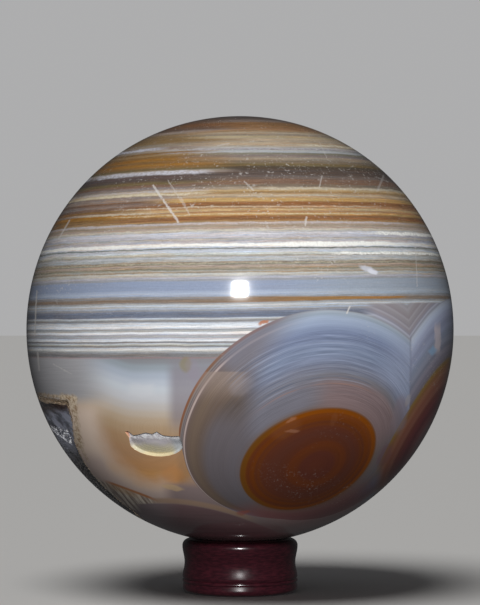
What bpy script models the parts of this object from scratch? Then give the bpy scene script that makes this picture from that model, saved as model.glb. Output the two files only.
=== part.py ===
"""A polished banded agate ball, standing on a small turned ring.

Metres, +Z up, origin in the middle of the ring's foot. The ball's shown side faces -Y.
"""

import math

import bmesh
import bpy
from mathutils import Matrix, Vector

MM = 0.001

# The ball
BALL_RADIUS = 32.5 * MM
BALL_SEGMENTS = 64
BALL_RINGS = 40

# The ring that carries it
RING_RADIUS = 8.8 * MM
RING_HEIGHT = 8.0 * MM
RING_BORE_RADIUS = 3.5 * MM
RING_SEAT_RADIUS = 7.7 * MM  # where the dished seat meets the lip
RING_SEAT_GAP = 0.3 * MM  # between the seat and the ball
RING_LIP_ROUND = 1.0 * MM
RING_FOOT_ROUND = 0.7 * MM
RING_BORE_ROUND = 0.5 * MM
RING_STEPS = 48

# The open pit in the ball's lower front, and where it sits on the surface
PIT_TURN = math.radians(-25.5)  # from the front, to the left
PIT_RISE = math.radians(-29.5)  # below the ball's middle
PIT_DEPTH = 1.5 * MM
PIT_MOUTH = 0.8 * MM  # how far the cutter stands out of the surface
PIT_HALF_WIDTH = 4.45 * MM
PIT_LOWER_HEIGHT = 2.25 * MM
PIT_LOWER_STEPS = 10
# The broken upper lip, from left to right: across and up, in millimetres
PIT_LIP = [
    (-4.2, -0.2),
    (-4.1, 0.8),
    (-4.6, 1.7),
    (-3.9, 1.8),
    (-3.2, 1.2),
    (-2.3, 1.4),
    (-1.0, 1.8),
    (0.0, 1.6),
    (0.8, 2.0),
    (1.6, 1.4),
    (2.9, 1.2),
    (4.1, 1.2),
    (4.3, 0.2),
]
# Share of the depth, share of the rim's size, and shift towards the lip in millimetres
PIT_LEVELS = [
    (0.0, 1.0, 0.0),
    (0.55, 0.9, 0.12),
    (0.9, 0.72, 0.35),
    (1.0, 0.4, 0.6),
]

# The ball's centre is as high as the seat's outer edge holds it
BALL_CENTRE_Z = RING_HEIGHT + math.sqrt(
    (BALL_RADIUS + RING_SEAT_GAP) ** 2 - RING_SEAT_RADIUS**2
)
BALL_CENTRE = Vector((0.0, 0.0, BALL_CENTRE_Z))

AGATE_COLOUR = (0.42, 0.33, 0.27, 1.0)
RING_COLOUR = (0.06, 0.012, 0.018, 1.0)


def clear_scene():
    for obj in list(bpy.data.objects):
        bpy.data.objects.remove(obj)


def new_collection(name):
    collection = bpy.data.collections.new(name)
    bpy.context.scene.collection.children.link(collection)
    return collection


def move_to(obj, collection):
    for old in list(obj.users_collection):
        old.objects.unlink(obj)
    collection.objects.link(obj)


def material(name, colour, roughness, metallic=0.0):
    made = bpy.data.materials.new(name)
    made.use_nodes = True
    shader = made.node_tree.nodes["Principled BSDF"]
    shader.inputs["Base Color"].default_value = colour
    shader.inputs["Roughness"].default_value = roughness
    shader.inputs["Metallic"].default_value = metallic
    made.diffuse_color = colour
    return made


def shade_round(mesh, angle):
    mesh.shade_smooth()
    mesh.set_sharp_from_angle(angle=math.radians(angle))


def arc(centre_x, centre_z, radius, start, end, steps):
    """Points of an arc in the profile's plane, from start to end in degrees."""
    points = []
    for i in range(steps + 1):
        turn = math.radians(start + (end - start) * i / steps)
        points.append((centre_x + radius * math.cos(turn), centre_z + radius * math.sin(turn)))
    return points


def pit_rim():
    """The pit's rim in the surface's own plane: the broken lip, then the smooth lower edge."""
    rim = [(across * MM, up * MM) for across, up in PIT_LIP]
    for i in range(PIT_LOWER_STEPS):
        turn = math.radians(-20 - 140 * i / (PIT_LOWER_STEPS - 1))
        rim.append((PIT_HALF_WIDTH * math.cos(turn), PIT_LOWER_HEIGHT * math.sin(turn)))
    return rim


def surface_frame(turn, rise):
    """A frame on the ball's surface: X across, Y up along the surface, Z straight out."""
    out = Vector(
        (
            math.sin(turn) * math.cos(rise),
            -math.cos(turn) * math.cos(rise),
            math.sin(rise),
        )
    )
    across = Vector((math.cos(turn), math.sin(turn), 0.0))
    up = out.cross(across)
    frame = Matrix((across, up, out)).transposed().to_4x4()
    frame.translation = BALL_CENTRE + out * BALL_RADIUS
    return frame


def pit_cutter(collection):
    """A shallow bowl with the pit's rim, lofted down to a small floor under the lip."""
    rim = pit_rim()
    levels = [(PIT_MOUTH, 1.0, 0.0)]
    levels += [(-share * PIT_DEPTH, size, shift * MM) for share, size, shift in PIT_LEVELS]
    bowl = bmesh.new()
    rings = []
    for height, size, shift in levels:
        ring = [bowl.verts.new((x * size, y * size + shift, height)) for x, y in rim]
        rings.append(ring)
    for above, below in zip(rings, rings[1:]):
        for i in range(len(rim)):
            j = (i + 1) % len(rim)
            bowl.faces.new((above[i], above[j], below[j], below[i]))
    bowl.faces.new(rings[0])
    bowl.faces.new(rings[-1])
    bmesh.ops.triangulate(bowl, faces=bowl.faces[:])
    bmesh.ops.recalc_face_normals(bowl, faces=bowl.faces[:])
    mesh = bpy.data.meshes.new("pit_cutter")
    bowl.to_mesh(mesh)
    bowl.free()
    cutter = bpy.data.objects.new("pit_cutter", mesh)
    collection.objects.link(cutter)
    cutter.matrix_world = surface_frame(PIT_TURN, PIT_RISE)
    cutter.hide_render = True
    cutter.display_type = "WIRE"
    return cutter


def agate_ball(collection, cutters):
    """The stone: one polished ball, with its open pit cut out."""
    bpy.ops.mesh.primitive_uv_sphere_add(
        segments=BALL_SEGMENTS,
        ring_count=BALL_RINGS,
        radius=BALL_RADIUS,
        location=BALL_CENTRE,
    )
    ball = bpy.context.object
    ball.name = "agate_ball"
    move_to(ball, collection)
    shade_round(ball.data, 30)
    ball.data.materials.append(material("polished_agate", AGATE_COLOUR, 0.08))
    cut = ball.modifiers.new("open_pit", "BOOLEAN")
    cut.operation = "DIFFERENCE"
    cut.solver = "EXACT"
    cut.object = pit_cutter(cutters)
    return ball


def seat_height(radius):
    """Height of the dished seat at a radius: the ball's own curve, a gap below it."""
    return BALL_CENTRE_Z - math.sqrt((BALL_RADIUS + RING_SEAT_GAP) ** 2 - radius**2)


def ring_profile():
    """The ring's closed section at +X, down the outside, in under the foot and up the bore."""
    lip_x = RING_RADIUS - RING_LIP_ROUND
    lip_z = RING_HEIGHT - RING_LIP_ROUND
    foot_x = RING_RADIUS - RING_FOOT_ROUND
    bore_x = RING_BORE_RADIUS + RING_BORE_ROUND
    points = arc(lip_x, lip_z, RING_LIP_ROUND, 90, 0, 5)
    points += arc(foot_x, RING_FOOT_ROUND, RING_FOOT_ROUND, 0, -90, 3)
    points += arc(bore_x, RING_BORE_ROUND, RING_BORE_ROUND, -90, -180, 2)
    seat_steps = 4
    for i in range(seat_steps + 1):
        radius = RING_BORE_RADIUS + (RING_SEAT_RADIUS - RING_BORE_RADIUS) * i / seat_steps
        points.append((radius, seat_height(radius)))
    return points


def ring_stand(collection):
    """The small ring: a closed section turned round the upright axis."""
    section = ring_profile()
    mesh = bpy.data.meshes.new("ring_section")
    count = len(section)
    mesh.from_pydata(
        [(x, 0.0, z) for x, z in section],
        [(i, (i + 1) % count) for i in range(count)],
        [],
    )
    ring = bpy.data.objects.new("ring_stand", mesh)
    collection.objects.link(ring)
    mesh.materials.append(material("dark_wine_ring", RING_COLOUR, 0.22))
    turned = ring.modifiers.new("turned", "SCREW")
    turned.axis = "Z"
    turned.angle = math.tau
    turned.steps = RING_STEPS
    turned.render_steps = RING_STEPS
    turned.use_smooth_shade = True
    turned.use_merge_vertices = True
    turned.merge_threshold = 0.00001
    return ring


def main():
    clear_scene()
    parts = new_collection("banded_agate_ball")
    cutters = new_collection("cutters")
    agate_ball(parts, cutters)
    ring_stand(parts)


main()
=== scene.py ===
import functools
import math

import bmesh
import bpy
from mathutils import Matrix, Vector, noise


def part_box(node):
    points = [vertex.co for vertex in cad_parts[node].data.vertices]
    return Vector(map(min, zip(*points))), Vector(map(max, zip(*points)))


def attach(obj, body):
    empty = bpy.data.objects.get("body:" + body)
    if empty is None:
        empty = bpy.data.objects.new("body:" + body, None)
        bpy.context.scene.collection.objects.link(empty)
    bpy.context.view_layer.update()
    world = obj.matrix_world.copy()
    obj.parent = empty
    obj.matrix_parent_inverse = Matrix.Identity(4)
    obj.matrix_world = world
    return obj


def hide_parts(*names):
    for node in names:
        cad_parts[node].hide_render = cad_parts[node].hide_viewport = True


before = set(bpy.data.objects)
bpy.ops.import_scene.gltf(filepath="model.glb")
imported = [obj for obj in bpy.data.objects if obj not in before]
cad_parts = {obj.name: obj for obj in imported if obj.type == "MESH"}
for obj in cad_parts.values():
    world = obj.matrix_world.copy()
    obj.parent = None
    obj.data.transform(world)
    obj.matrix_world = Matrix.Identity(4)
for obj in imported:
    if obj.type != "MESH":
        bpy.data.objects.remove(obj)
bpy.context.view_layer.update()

# A polished banded agate ball on a small turned ring. Metres, +Z up. The shown side faces -Y.

MM = 0.001

# Sizes taken from the frame
ball_low, ball_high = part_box("agate_ball")
ring_low, ring_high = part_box("ring_stand")
BALL_RADIUS = (ball_high.x - ball_low.x) / 2
BALL_CENTRE = Vector((0.0, 0.0, ball_high.z - BALL_RADIUS))
RING_RADIUS = (ring_high.x - ring_low.x) / 2
RING_HEIGHT = ring_high.z

# Where the noises start, in ball radii from the ball's middle
NOISE_SHIFT = (3.0, 7.0, 5.0)

# How the stone and the quartz bend light, and the strength of the painted light: an emission glow on the
# pocket's wall under the quartz
STONE_IOR = 1.54
QUARTZ_IOR = 1.544
POCKET_PAINTED_GLOW = 0.22

# The ball's mesh: a cube of this many points along an edge, swollen round
BALL_STEPS = 104

# The open pit: its place on the surface, its depth and its broken upper lip (across, up, in mm)
PIT_TURN = math.radians(-25.5)
PIT_RISE = math.radians(-29.5)
PIT_DEPTH = 1.5 * MM
PIT_MOUTH = 0.6 * MM
PIT_HALF_WIDTH = 4.45
PIT_LOWER_HEIGHT = 2.25
PIT_LIP = [
    (-4.2, -0.2), (-4.1, 0.8), (-4.6, 1.7), (-3.9, 1.8), (-3.2, 1.2), (-2.3, 1.4), (-1.0, 1.8),
    (0.0, 1.6), (0.8, 2.0), (1.6, 1.4), (2.9, 1.2), (4.1, 1.2), (4.3, 0.2),
]
PIT_LOWER_STEPS = 10
PIT_AROUND = 144
PIT_RINGS = 34

# The clear quartz corner: its rim on the surface, in ball radii, from the corner at the front down the
# right edge, round the back and home along the level top edge
QUARTZ_RIM = [
    (-0.77, -0.557, -0.31), (-0.75, -0.527, -0.40), (-0.748, -0.437, -0.50), (-0.708, -0.373, -0.60),
    (-0.672, -0.345, -0.655), (-0.605, -0.315, -0.732), (-0.53, -0.285, -0.80), (-0.46, -0.24, -0.855),
    (-0.43, -0.05, -0.90), (-0.45, 0.20, -0.87), (-0.70, 0.27, -0.66), (-0.85, 0.28, -0.45),
    (-0.905, 0.30, -0.30), (-0.95, 0.05, -0.30), (-0.93, -0.22, -0.30), (-0.86, -0.41, -0.305),
]
QUARTZ_AROUND = 220
# The pocket that it fills: depth under the surface and how far its wall has closed in
POCKET_LEVELS = [
    (-0.05, 0.9), (-0.05, 0.6), (-0.05, 0.3), (-0.05, -0.02), (0.0, 0.0), (0.012, 0.035), (0.03, 0.06),
    (0.06, 0.08), (0.10, 0.10), (0.15, 0.14), (0.20, 0.22), (0.24, 0.34), (0.27, 0.50), (0.285, 0.68),
    (0.29, 0.84),
]


def tone(red, green, blue):
    """A colour named the way a paint card names it, 0 to 255, as the shader wants it."""
    made = []
    for part in (red, green, blue):
        share = part / 255
        made.append(share / 12.92 if share <= 0.04045 else ((share + 0.055) / 1.055) ** 2.4)
    return (*made, 1.0)


def stops(rows):
    """A list of (place, red, green, blue) as places and colours."""
    return [(at, tone(*paint)) for at, *paint in rows]


BLACK = (0.0, 0.0, 0.0, 1.0)

# Colours of the level layers
MAUVE_BROWN = tone(112, 98, 92)
PALE_MAUVE = tone(150, 134, 124)
ORANGE_BROWN = tone(150, 113, 76)
ORANGE_TAN = tone(158, 122, 90)
TAN = tone(164, 139, 108)
PALE_TAN = tone(180, 164, 142)
GREY_TAN = tone(152, 139, 122)
CREAM_TAN = tone(187, 171, 139)
PALE_GREY = tone(172, 169, 164)
MAUVE_GREY = tone(130, 120, 117)
ICE_GREY = tone(168, 171, 172)
OLIVE_GREY = tone(130, 127, 112)
TAUPE = tone(124, 111, 96)
OLIVE = tone(112, 98, 70)
SMOKE = tone(88, 77, 71)
DARK_SMOKE = tone(82, 72, 61)
PALE_SMOKE = tone(106, 96, 91)
BROWN = tone(120, 96, 81)
PALE_GOLD = tone(180, 156, 118)
GOLD = tone(180, 148, 98)
GOLD_BROWN = tone(150, 123, 87)
DARK_HONEY = tone(132, 101, 64)
HONEY = tone(142, 116, 80)
AMBER = tone(150, 108, 52)
RUST = tone(135, 97, 67)
PINK_GREY = tone(166, 150, 139)
LILAC_WHITE = tone(190, 190, 196)
LILAC_GREY = tone(170, 169, 178)
WARM_GREY = tone(158, 154, 146)
WHITE = tone(221, 221, 219)
GREEN_GREY = tone(118, 123, 119)
PALE_GREEN_GREY = tone(184, 188, 182)
SLATE = tone(119, 125, 141)
DARK_SLATE = tone(108, 115, 131)
BLUE_GREY = tone(140, 151, 174)
PALE_BLUE = tone(154, 165, 186)
ICE_BLUE = tone(166, 176, 193)
IRON_GREY = tone(136, 122, 110)
ICE = tone(190, 196, 205)
ICE_WHITE = tone(206, 212, 219)
SNOW = tone(226, 229, 234)
GREY = tone(146, 148, 153)
DARK_GREY = tone(128, 126, 127)
PLUM = tone(92, 80, 80)

# The level layers from the top down: height in ball radii, colour
LEVEL_BANDS = [
    (1.0, MAUVE_BROWN), (0.975, MAUVE_BROWN), (0.958, PALE_MAUVE), (0.945, ORANGE_BROWN),
    (0.930, ORANGE_BROWN), (0.912, ORANGE_TAN), (0.900, TAN), (0.893, PALE_TAN), (0.882, GREY_TAN),
    (0.872, CREAM_TAN), (0.860, PALE_TAN), (0.832, PALE_TAN), (0.818, PALE_GREY), (0.811, MAUVE_GREY),
    (0.806, ICE_GREY), (0.797, ICE_GREY), (0.791, OLIVE_GREY), (0.778, MAUVE_GREY), (0.765, GREY_TAN),
    (0.750, TAUPE), (0.735, OLIVE), (0.722, DARK_SMOKE), (0.705, SMOKE), (0.690, SMOKE),
    (0.676, PALE_SMOKE), (0.660, BROWN), (0.648, BROWN), (0.636, TAUPE), (0.622, GREY_TAN),
    (0.615, PALE_GOLD), (0.606, GOLD_BROWN), (0.590, PALE_TAN), (0.583, TAN), (0.576, GOLD),
    (0.567, GOLD), (0.560, RUST), (0.549, RUST), (0.538, ORANGE_TAN), (0.526, PALE_GOLD),
    (0.518, ORANGE_TAN), (0.507, GOLD), (0.496, RUST), (0.484, RUST), (0.477, GOLD_BROWN),
    (0.468, PINK_GREY), (0.455, GREY_TAN), (0.447, PINK_GREY), (0.434, PALE_GREY), (0.424, LILAC_WHITE),
    (0.418, LILAC_WHITE), (0.408, LILAC_GREY), (0.398, PALE_GREY), (0.388, LILAC_GREY),
    (0.381, LILAC_WHITE), (0.377, WHITE), (0.368, WHITE), (0.363, LILAC_WHITE), (0.358, GREEN_GREY),
    (0.352, ICE_GREY), (0.343, ICE), (0.334, PALE_GREEN_GREY), (0.327, WARM_GREY), (0.316, ICE_GREY),
    (0.306, ICE_GREY), (0.301, WARM_GREY), (0.297, TAUPE), (0.291, OLIVE_GREY), (0.283, PINK_GREY),
    (0.274, GREY_TAN), (0.268, OLIVE_GREY), (0.262, WARM_GREY), (0.255, GREY_TAN), (0.249, ICE_GREY),
    (0.240, PALE_GREY), (0.232, LILAC_GREY), (0.222, GREY), (0.214, BLUE_GREY), (0.180, BLUE_GREY),
    (0.172, PALE_BLUE), (0.163, ICE_BLUE), (0.156, PALE_BLUE), (0.150, GREY), (0.143, GREY),
    (0.138, IRON_GREY), (0.129, IRON_GREY), (0.124, GREY), (0.118, ICE_GREY), (0.112, ICE),
    (0.106, ICE_GREY), (0.100, ICE_BLUE), (0.094, GREY), (0.084, SLATE), (0.076, DARK_SLATE),
    (0.068, DARK_SLATE), (0.062, SLATE), (0.058, ICE), (0.053, ICE_GREY), (0.048, DARK_GREY),
    (0.043, GREY), (0.038, ICE), (0.030, ICE_WHITE), (0.020, SNOW), (0.015, ICE), (0.011, GREY),
    (0.007, ICE_GREY), (0.002, ICE_GREY), (-0.001, SNOW), (-0.008, SNOW), (-0.012, LILAC_GREY),
    (-0.019, ICE_GREY), (-0.026, LILAC_GREY), (-0.031, ICE_WHITE), (-0.038, SNOW), (-0.042, GREY),
    (-0.046, DARK_GREY), (-0.050, ICE), (-0.056, PALE_GREEN_GREY), (-0.060, DARK_GREY), (-0.064, GREY),
    (-0.068, ICE), (-0.077, WHITE), (-0.084, ICE_GREY), (-0.090, GREY), (-0.098, DARK_GREY),
    (-0.12, DARK_GREY),
]

# The same layers' other colours at the upper left, where iron stained them
STAINED_BANDS = [
    (1.0, MAUVE_BROWN), (0.94, RUST), (0.92, BROWN), (0.908, PINK_GREY), (0.893, GOLD_BROWN),
    (0.875, HONEY), (0.858, HONEY), (0.843, GREY_TAN), (0.826, PALE_MAUVE), (0.812, GREY_TAN),
    (0.803, DARK_HONEY), (0.792, GOLD_BROWN), (0.783, DARK_HONEY), (0.772, AMBER), (0.757, DARK_HONEY),
    (0.745, AMBER), (0.733, DARK_HONEY), (0.722, OLIVE), (0.713, GREY_TAN), (0.706, PALE_MAUVE),
    (0.697, PALE_SMOKE), (0.688, PLUM), (0.672, SMOKE), (0.656, OLIVE), (0.645, BROWN),
    (0.632, MAUVE_GREY), (0.612, PALE_TAN), (0.602, CREAM_TAN), (0.596, MAUVE_GREY),
    (0.582, PALE_MAUVE), (0.570, BROWN), (0.556, MAUVE_GREY), (0.544, BROWN), (0.532, DARK_HONEY),
    (0.521, PALE_MAUVE), (0.514, AMBER), (0.504, AMBER), (0.497, DARK_HONEY), (0.486, HONEY),
    (0.474, GREY_TAN),
]

# The eye's rings, from its middle (0) over the core's edge (1) to its outer wall (2), towards its top
EYE_RINGS = stops([
    (0.0, 92, 47, 33), (0.22, 90, 46, 34), (0.30, 97, 49, 26), (0.36, 101, 51, 24), (0.41, 100, 50, 25),
    (0.47, 92, 48, 31), (0.60, 91, 50, 37), (0.70, 95, 50, 33), (0.75, 102, 53, 25),
    (0.785, 98, 51, 28), (0.825, 110, 56, 16), (0.86, 108, 54, 18), (0.885, 102, 52, 26),
    (0.92, 106, 55, 22), (0.945, 129, 67, 8), (0.985, 126, 68, 8), (1.005, 118, 84, 60),
    (1.03, 118, 104, 100), (1.10, 120, 110, 110), (1.20, 120, 113, 116), (1.28, 126, 116, 118),
    (1.34, 120, 119, 126), (1.42, 122, 125, 141), (1.5, 124, 132, 154), (1.58, 126, 137, 161),
    (1.66, 126, 137, 162), (1.72, 120, 130, 156), (1.77, 120, 131, 158), (1.82, 134, 146, 172),
    (1.86, 148, 161, 185), (1.92, 157, 170, 191), (1.955, 150, 162, 176), (1.975, 160, 170, 182),
    (2.0, 150, 152, 156),
])

# Thin lines in the upper rings: ring, half width, strength, colour
DARK_LINE = tone(92, 103, 124)
PALE_LINE = tone(160, 170, 192)
EYE_LINES = [
    (1.175, 0.010, 0.30, tone(96, 92, 96)), (1.262, 0.008, 0.45, tone(160, 116, 92)),
    (1.305, 0.010, 0.40, PALE_LINE), (1.335, 0.010, 0.60, DARK_LINE), (1.380, 0.011, 0.35, PALE_LINE),
    (1.410, 0.009, 0.50, DARK_LINE), (1.440, 0.009, 0.40, PALE_LINE), (1.465, 0.009, 0.45, DARK_LINE),
    (1.492, 0.009, 0.35, PALE_LINE), (1.530, 0.010, 0.50, DARK_LINE), (1.556, 0.009, 0.45, PALE_LINE),
    (1.582, 0.009, 0.50, DARK_LINE), (1.608, 0.010, 0.50, PALE_LINE), (1.634, 0.008, 0.45, DARK_LINE),
    (1.672, 0.011, 0.45, PALE_LINE), (1.712, 0.012, 0.55, DARK_LINE), (1.740, 0.006, 0.35, PALE_LINE),
]

# The same rings at the eye's left, where they are smooth brown and grey inside a thin pink line
LEFT_RINGS = stops([
    (1.0, 112, 64, 20), (1.03, 104, 88, 78), (1.12, 100, 92, 92), (1.3, 97, 86, 81), (1.5, 98, 86, 79),
    (1.65, 110, 94, 84), (1.78, 118, 101, 88), (1.85, 114, 98, 88), (1.882, 116, 100, 96),
    (1.894, 188, 170, 164), (1.905, 184, 166, 160), (1.917, 112, 97, 95), (1.93, 134, 126, 126),
    (1.942, 112, 102, 102), (1.955, 138, 130, 128), (1.97, 116, 98, 86), (2.0, 132, 104, 84),
])

# And under the core
LOW_RINGS = stops([
    (1.0, 122, 78, 48), (1.06, 126, 94, 84), (1.2, 134, 98, 94), (1.4, 138, 94, 92), (1.6, 142, 94, 94),
    (2.0, 150, 104, 103),
])

# The side eye at the lower right, from its middle (0) over its amber edge (1) to its outer wall (2)
SIDE_RINGS = stops([
    (0.0, 150, 108, 112), (0.20, 156, 108, 110), (0.33, 138, 78, 80), (0.45, 114, 54, 58),
    (0.56, 124, 62, 62), (0.64, 122, 66, 58), (0.72, 146, 94, 78), (0.79, 140, 88, 70),
    (0.86, 148, 102, 78), (0.92, 138, 98, 64), (0.965, 140, 108, 60), (0.99, 134, 112, 76),
    (1.02, 124, 116, 124), (1.10, 128, 124, 138), (1.20, 142, 138, 152), (1.27, 128, 130, 146),
    (1.36, 142, 146, 164), (1.46, 136, 144, 164), (1.58, 148, 155, 180), (1.66, 142, 148, 172),
    (1.78, 160, 167, 192), (1.88, 176, 186, 208), (1.95, 182, 190, 206), (2.0, 150, 152, 162),
])

# The nested chevrons over the crease: degrees past the two outer walls
CHEVRONS = stops([
    (0.0, 150, 152, 164), (0.5, 172, 174, 188), (0.9, 146, 144, 156), (1.6, 150, 144, 151),
    (2.1, 162, 159, 167), (2.5, 144, 139, 146), (3.4, 150, 145, 150), (3.9, 158, 154, 160),
    (4.4, 145, 138, 143), (5.5, 150, 145, 149), (6.2, 157, 153, 159), (7.0, 147, 144, 148),
])

# The shells that line the back and the base, by degrees from their own middle at the back
BACK_SHELLS = stops([
    (0, 126, 84, 52), (7, 134, 88, 50), (11, 148, 102, 52), (12.5, 140, 122, 112), (17, 132, 124, 130),
    (22, 150, 152, 164), (26, 126, 130, 146), (31, 162, 168, 180), (35, 140, 138, 146),
    (40, 176, 180, 186), (43, 146, 132, 122), (47, 168, 160, 156), (52, 134, 136, 148),
    (58, 158, 160, 172), (63, 150, 136, 130), (68, 160, 146, 142), (74, 148, 132, 130),
    (80, 176, 152, 150), (88, 180, 146, 144), (100, 186, 132, 132),
])

# The milky hollow at the lower left: height, colour
HOLLOW_BANDS = stops([
    (-0.105, 128, 126, 128), (-0.125, 138, 140, 145), (-0.15, 151, 160, 168), (-0.19, 174, 183, 196),
    (-0.22, 190, 197, 208), (-0.25, 202, 208, 215), (-0.29, 203, 204, 208), (-0.33, 200, 194, 189),
    (-0.36, 200, 186, 170), (-0.39, 196, 174, 148), (-0.43, 190, 162, 130), (-0.48, 186, 150, 114),
    (-0.54, 190, 148, 110), (-0.60, 203, 152, 104), (-0.64, 216, 160, 100), (-0.67, 224, 165, 105),
])

# Ragged chalky seams: where a stretch starts and ends across, then height, half width, strength, colour
BLUE_CHALK = tone(196, 196, 206)
CREAM_CHALK = tone(214, 204, 180)
WHITE_CHALK = tone(238, 238, 232)
SEAMS = [
    (-0.97, 0.72, [
        (0.247, 0.004, 0.30, CREAM_CHALK), (0.294, 0.003, 0.35, CREAM_CHALK),
        (0.318, 0.004, 0.35, BLUE_CHALK), (0.350, 0.005, 0.50, BLUE_CHALK),
        (0.374, 0.006, 0.65, WHITE_CHALK), (0.408, 0.003, 0.35, BLUE_CHALK),
        (0.438, 0.004, 0.45, CREAM_CHALK), (0.468, 0.005, 0.45, BLUE_CHALK),
    ]),
    (-0.55, 0.60, [(0.508, 0.003, 0.45, CREAM_CHALK), (0.541, 0.003, 0.45, CREAM_CHALK)]),
    (-0.95, -0.15, [
        (0.424, 0.004, 0.50, BLUE_CHALK), (0.604, 0.005, 0.75, CREAM_CHALK),
        (0.617, 0.005, 0.40, BLUE_CHALK), (0.705, 0.010, 0.85, BLUE_CHALK),
    ]),
    (-0.72, -0.36, [(0.520, 0.005, 0.50, CREAM_CHALK), (0.826, 0.007, 1.0, BLUE_CHALK)]),
    (-0.35, 0.68, [(0.798, 0.004, 0.30, BLUE_CHALK), (0.813, 0.005, 0.45, BLUE_CHALK)]),
    (0.27, 0.56, [(0.833, 0.005, 0.85, CREAM_CHALK)]),
    (0.10, 0.93, [(0.623, 0.006, 0.50, CREAM_CHALK)]),
    (0.42, 0.93, [(0.331, 0.006, 1.0, WHITE_CHALK)]),
    (0.60, 0.92, [(0.421, 0.008, 1.0, WHITE_CHALK)]),
    (0.16, 0.66, [(0.374, 0.010, 0.9, WHITE_CHALK)]),
]

# Scratches on the shown side: from, to (across, up, in ball radii), half width, strength
SCRATCHES = [
    (-0.385, 0.645, -0.27, 0.48, 0.0062, 0.75), (-0.775, 0.50, -0.825, 0.415, 0.0050, 0.55),
    (-0.32, 0.67, -0.22, 0.51, 0.0030, 0.35), (0.365, 0.69, 0.352, 0.64, 0.0040, 0.4),
    (0.29, 0.50, 0.285, 0.465, 0.0050, 0.6), (0.79, 0.42, 0.792, 0.20, 0.0030, 0.4),
    (0.478, 0.108, 0.466, 0.082, 0.0045, 0.8), (-0.84, -0.15, -0.75, -0.19, 0.0024, 0.5),
    (-0.928, 0.18, -0.935, -0.02, 0.0050, 0.7), (-0.92, -0.10, -0.915, -0.18, 0.0060, 0.6),
    (-0.26, 0.59, -0.23, 0.53, 0.0050, 0.3), (0.02, 0.66, 0.06, 0.62, 0.0045, 0.4),
    (0.66, 0.71, 0.62, 0.63, 0.0060, 0.3), (0.36, 0.86, 0.39, 0.78, 0.0028, 0.35),
    (-0.10, 0.83, -0.05, 0.84, 0.0045, 0.4), (0.62, 0.70, 0.68, 0.68, 0.0025, 0.3),
]

# Worn places, full of specks: across, up, half width, half height, turn in degrees, strength
WORN = [
    (0.50, 0.68, 0.36, 0.16, 0, 0.9), (-0.06, 0.82, 0.36, 0.14, 0, 0.9),
    (0.26, 0.46, 0.26, 0.24, 0, 0.8), (-0.25, 0.62, 0.46, 0.12, 0, 0.8),
    (0.14, 0.67, 0.30, 0.12, 0, 0.9), (0.34, -0.70, 0.26, 0.08, -18, 0.30),
    (0.84, -0.14, 0.12, 0.15, 0, 0.6), (0.58, 0.36, 0.30, 0.045, 0, 0.8),
    (-0.45, 0.41, 0.30, 0.03, 0, 0.6), (-0.60, 0.03, 0.20, 0.12, 0, 0.5),
    (0.40, 0.86, 0.16, 0.05, -10, 0.9),
]

# The crumbly druse along the quartz: from, to (across, up, in ball radii), half width, strength
DRUSE_EDGES = [
    (-0.94, -0.294, -0.80, -0.297, 0.007, 0.85), (-0.80, -0.298, -0.74, -0.302, 0.014, 1.0),
    (-0.752, -0.305, -0.740, -0.36, 0.018, 0.9), (-0.738, -0.36, -0.732, -0.46, 0.014, 0.75),
    (-0.735, -0.46, -0.725, -0.52, 0.018, 0.9), (-0.722, -0.52, -0.69, -0.59, 0.007, 0.6),
]

# Soft patches: across, up, half width, half height, turn in degrees, squareness, strength, colour
PATCHES = [
    (-0.235, -0.14, 0.026, 0.034, 0, 2, 0.55, tone(140, 128, 88)),
    (-0.205, -0.16, 0.030, 0.050, 10, 2, 0.30, tone(150, 138, 152)),
    (-0.43, -0.255, 0.060, 0.030, 0, 6, 0.45, tone(214, 215, 219)),
    (-0.30, -0.695, 0.050, 0.012, -10, 2, 0.55, tone(236, 200, 146)),
    (0.01, -0.235, 0.060, 0.035, 30, 2, 0.22, tone(158, 154, 162)),
    (0.20, -0.425, 0.070, 0.034, 25, 2, 0.32, tone(126, 78, 48)),
    (0.222, -0.384, 0.026, 0.009, 25, 2, 0.32, tone(186, 136, 108)),
    (0.228, -0.434, 0.030, 0.008, 5, 2, 0.28, tone(182, 132, 108)),
    (0.715, -0.375, 0.036, 0.085, -12, 3, 0.60, tone(140, 126, 134)),
    (0.41, -0.385, 0.030, 0.014, 70, 2, 0.10, tone(150, 104, 76)),
    (-0.30, -0.63, 0.050, 0.040, 0, 2, 0.35, tone(222, 150, 88)),
    (0.100, 0.042, 0.024, 0.009, 20, 2, 0.8, tone(176, 104, 56)),
    (0.015, -0.812, 0.030, 0.012, 10, 2, 0.6, tone(176, 96, 80)),
    (0.895, -0.035, 0.017, 0.066, 0, 6, 0.65, tone(206, 194, 198)),
    (0.868, -0.09, 0.019, 0.019, 45, 6, 0.75, tone(136, 168, 200)),
    (0.65, -0.56, 0.030, 0.060, -25, 2, 0.45, tone(120, 78, 90)),
    (0.75, -0.31, 0.012, 0.030, -15, 2, 0.35, tone(186, 176, 168)),
    (0.565, 0.272, 0.042, 0.013, -18, 2, 0.7, tone(208, 211, 224)),
    (0.585, 0.262, 0.022, 0.010, -18, 3, 0.8, tone(220, 222, 232)),
]

# Thin streaks along the layers: lumps along, lumps across, strength, detail
STREAKS = [
    (0.5, 32.0, 0.45, 3.0), (1.3, 95.0, 0.60, 2.0), (2.6, 230.0, 0.65, 2.0), (8.0, 210.0, 0.60, 2.0),
]

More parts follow.
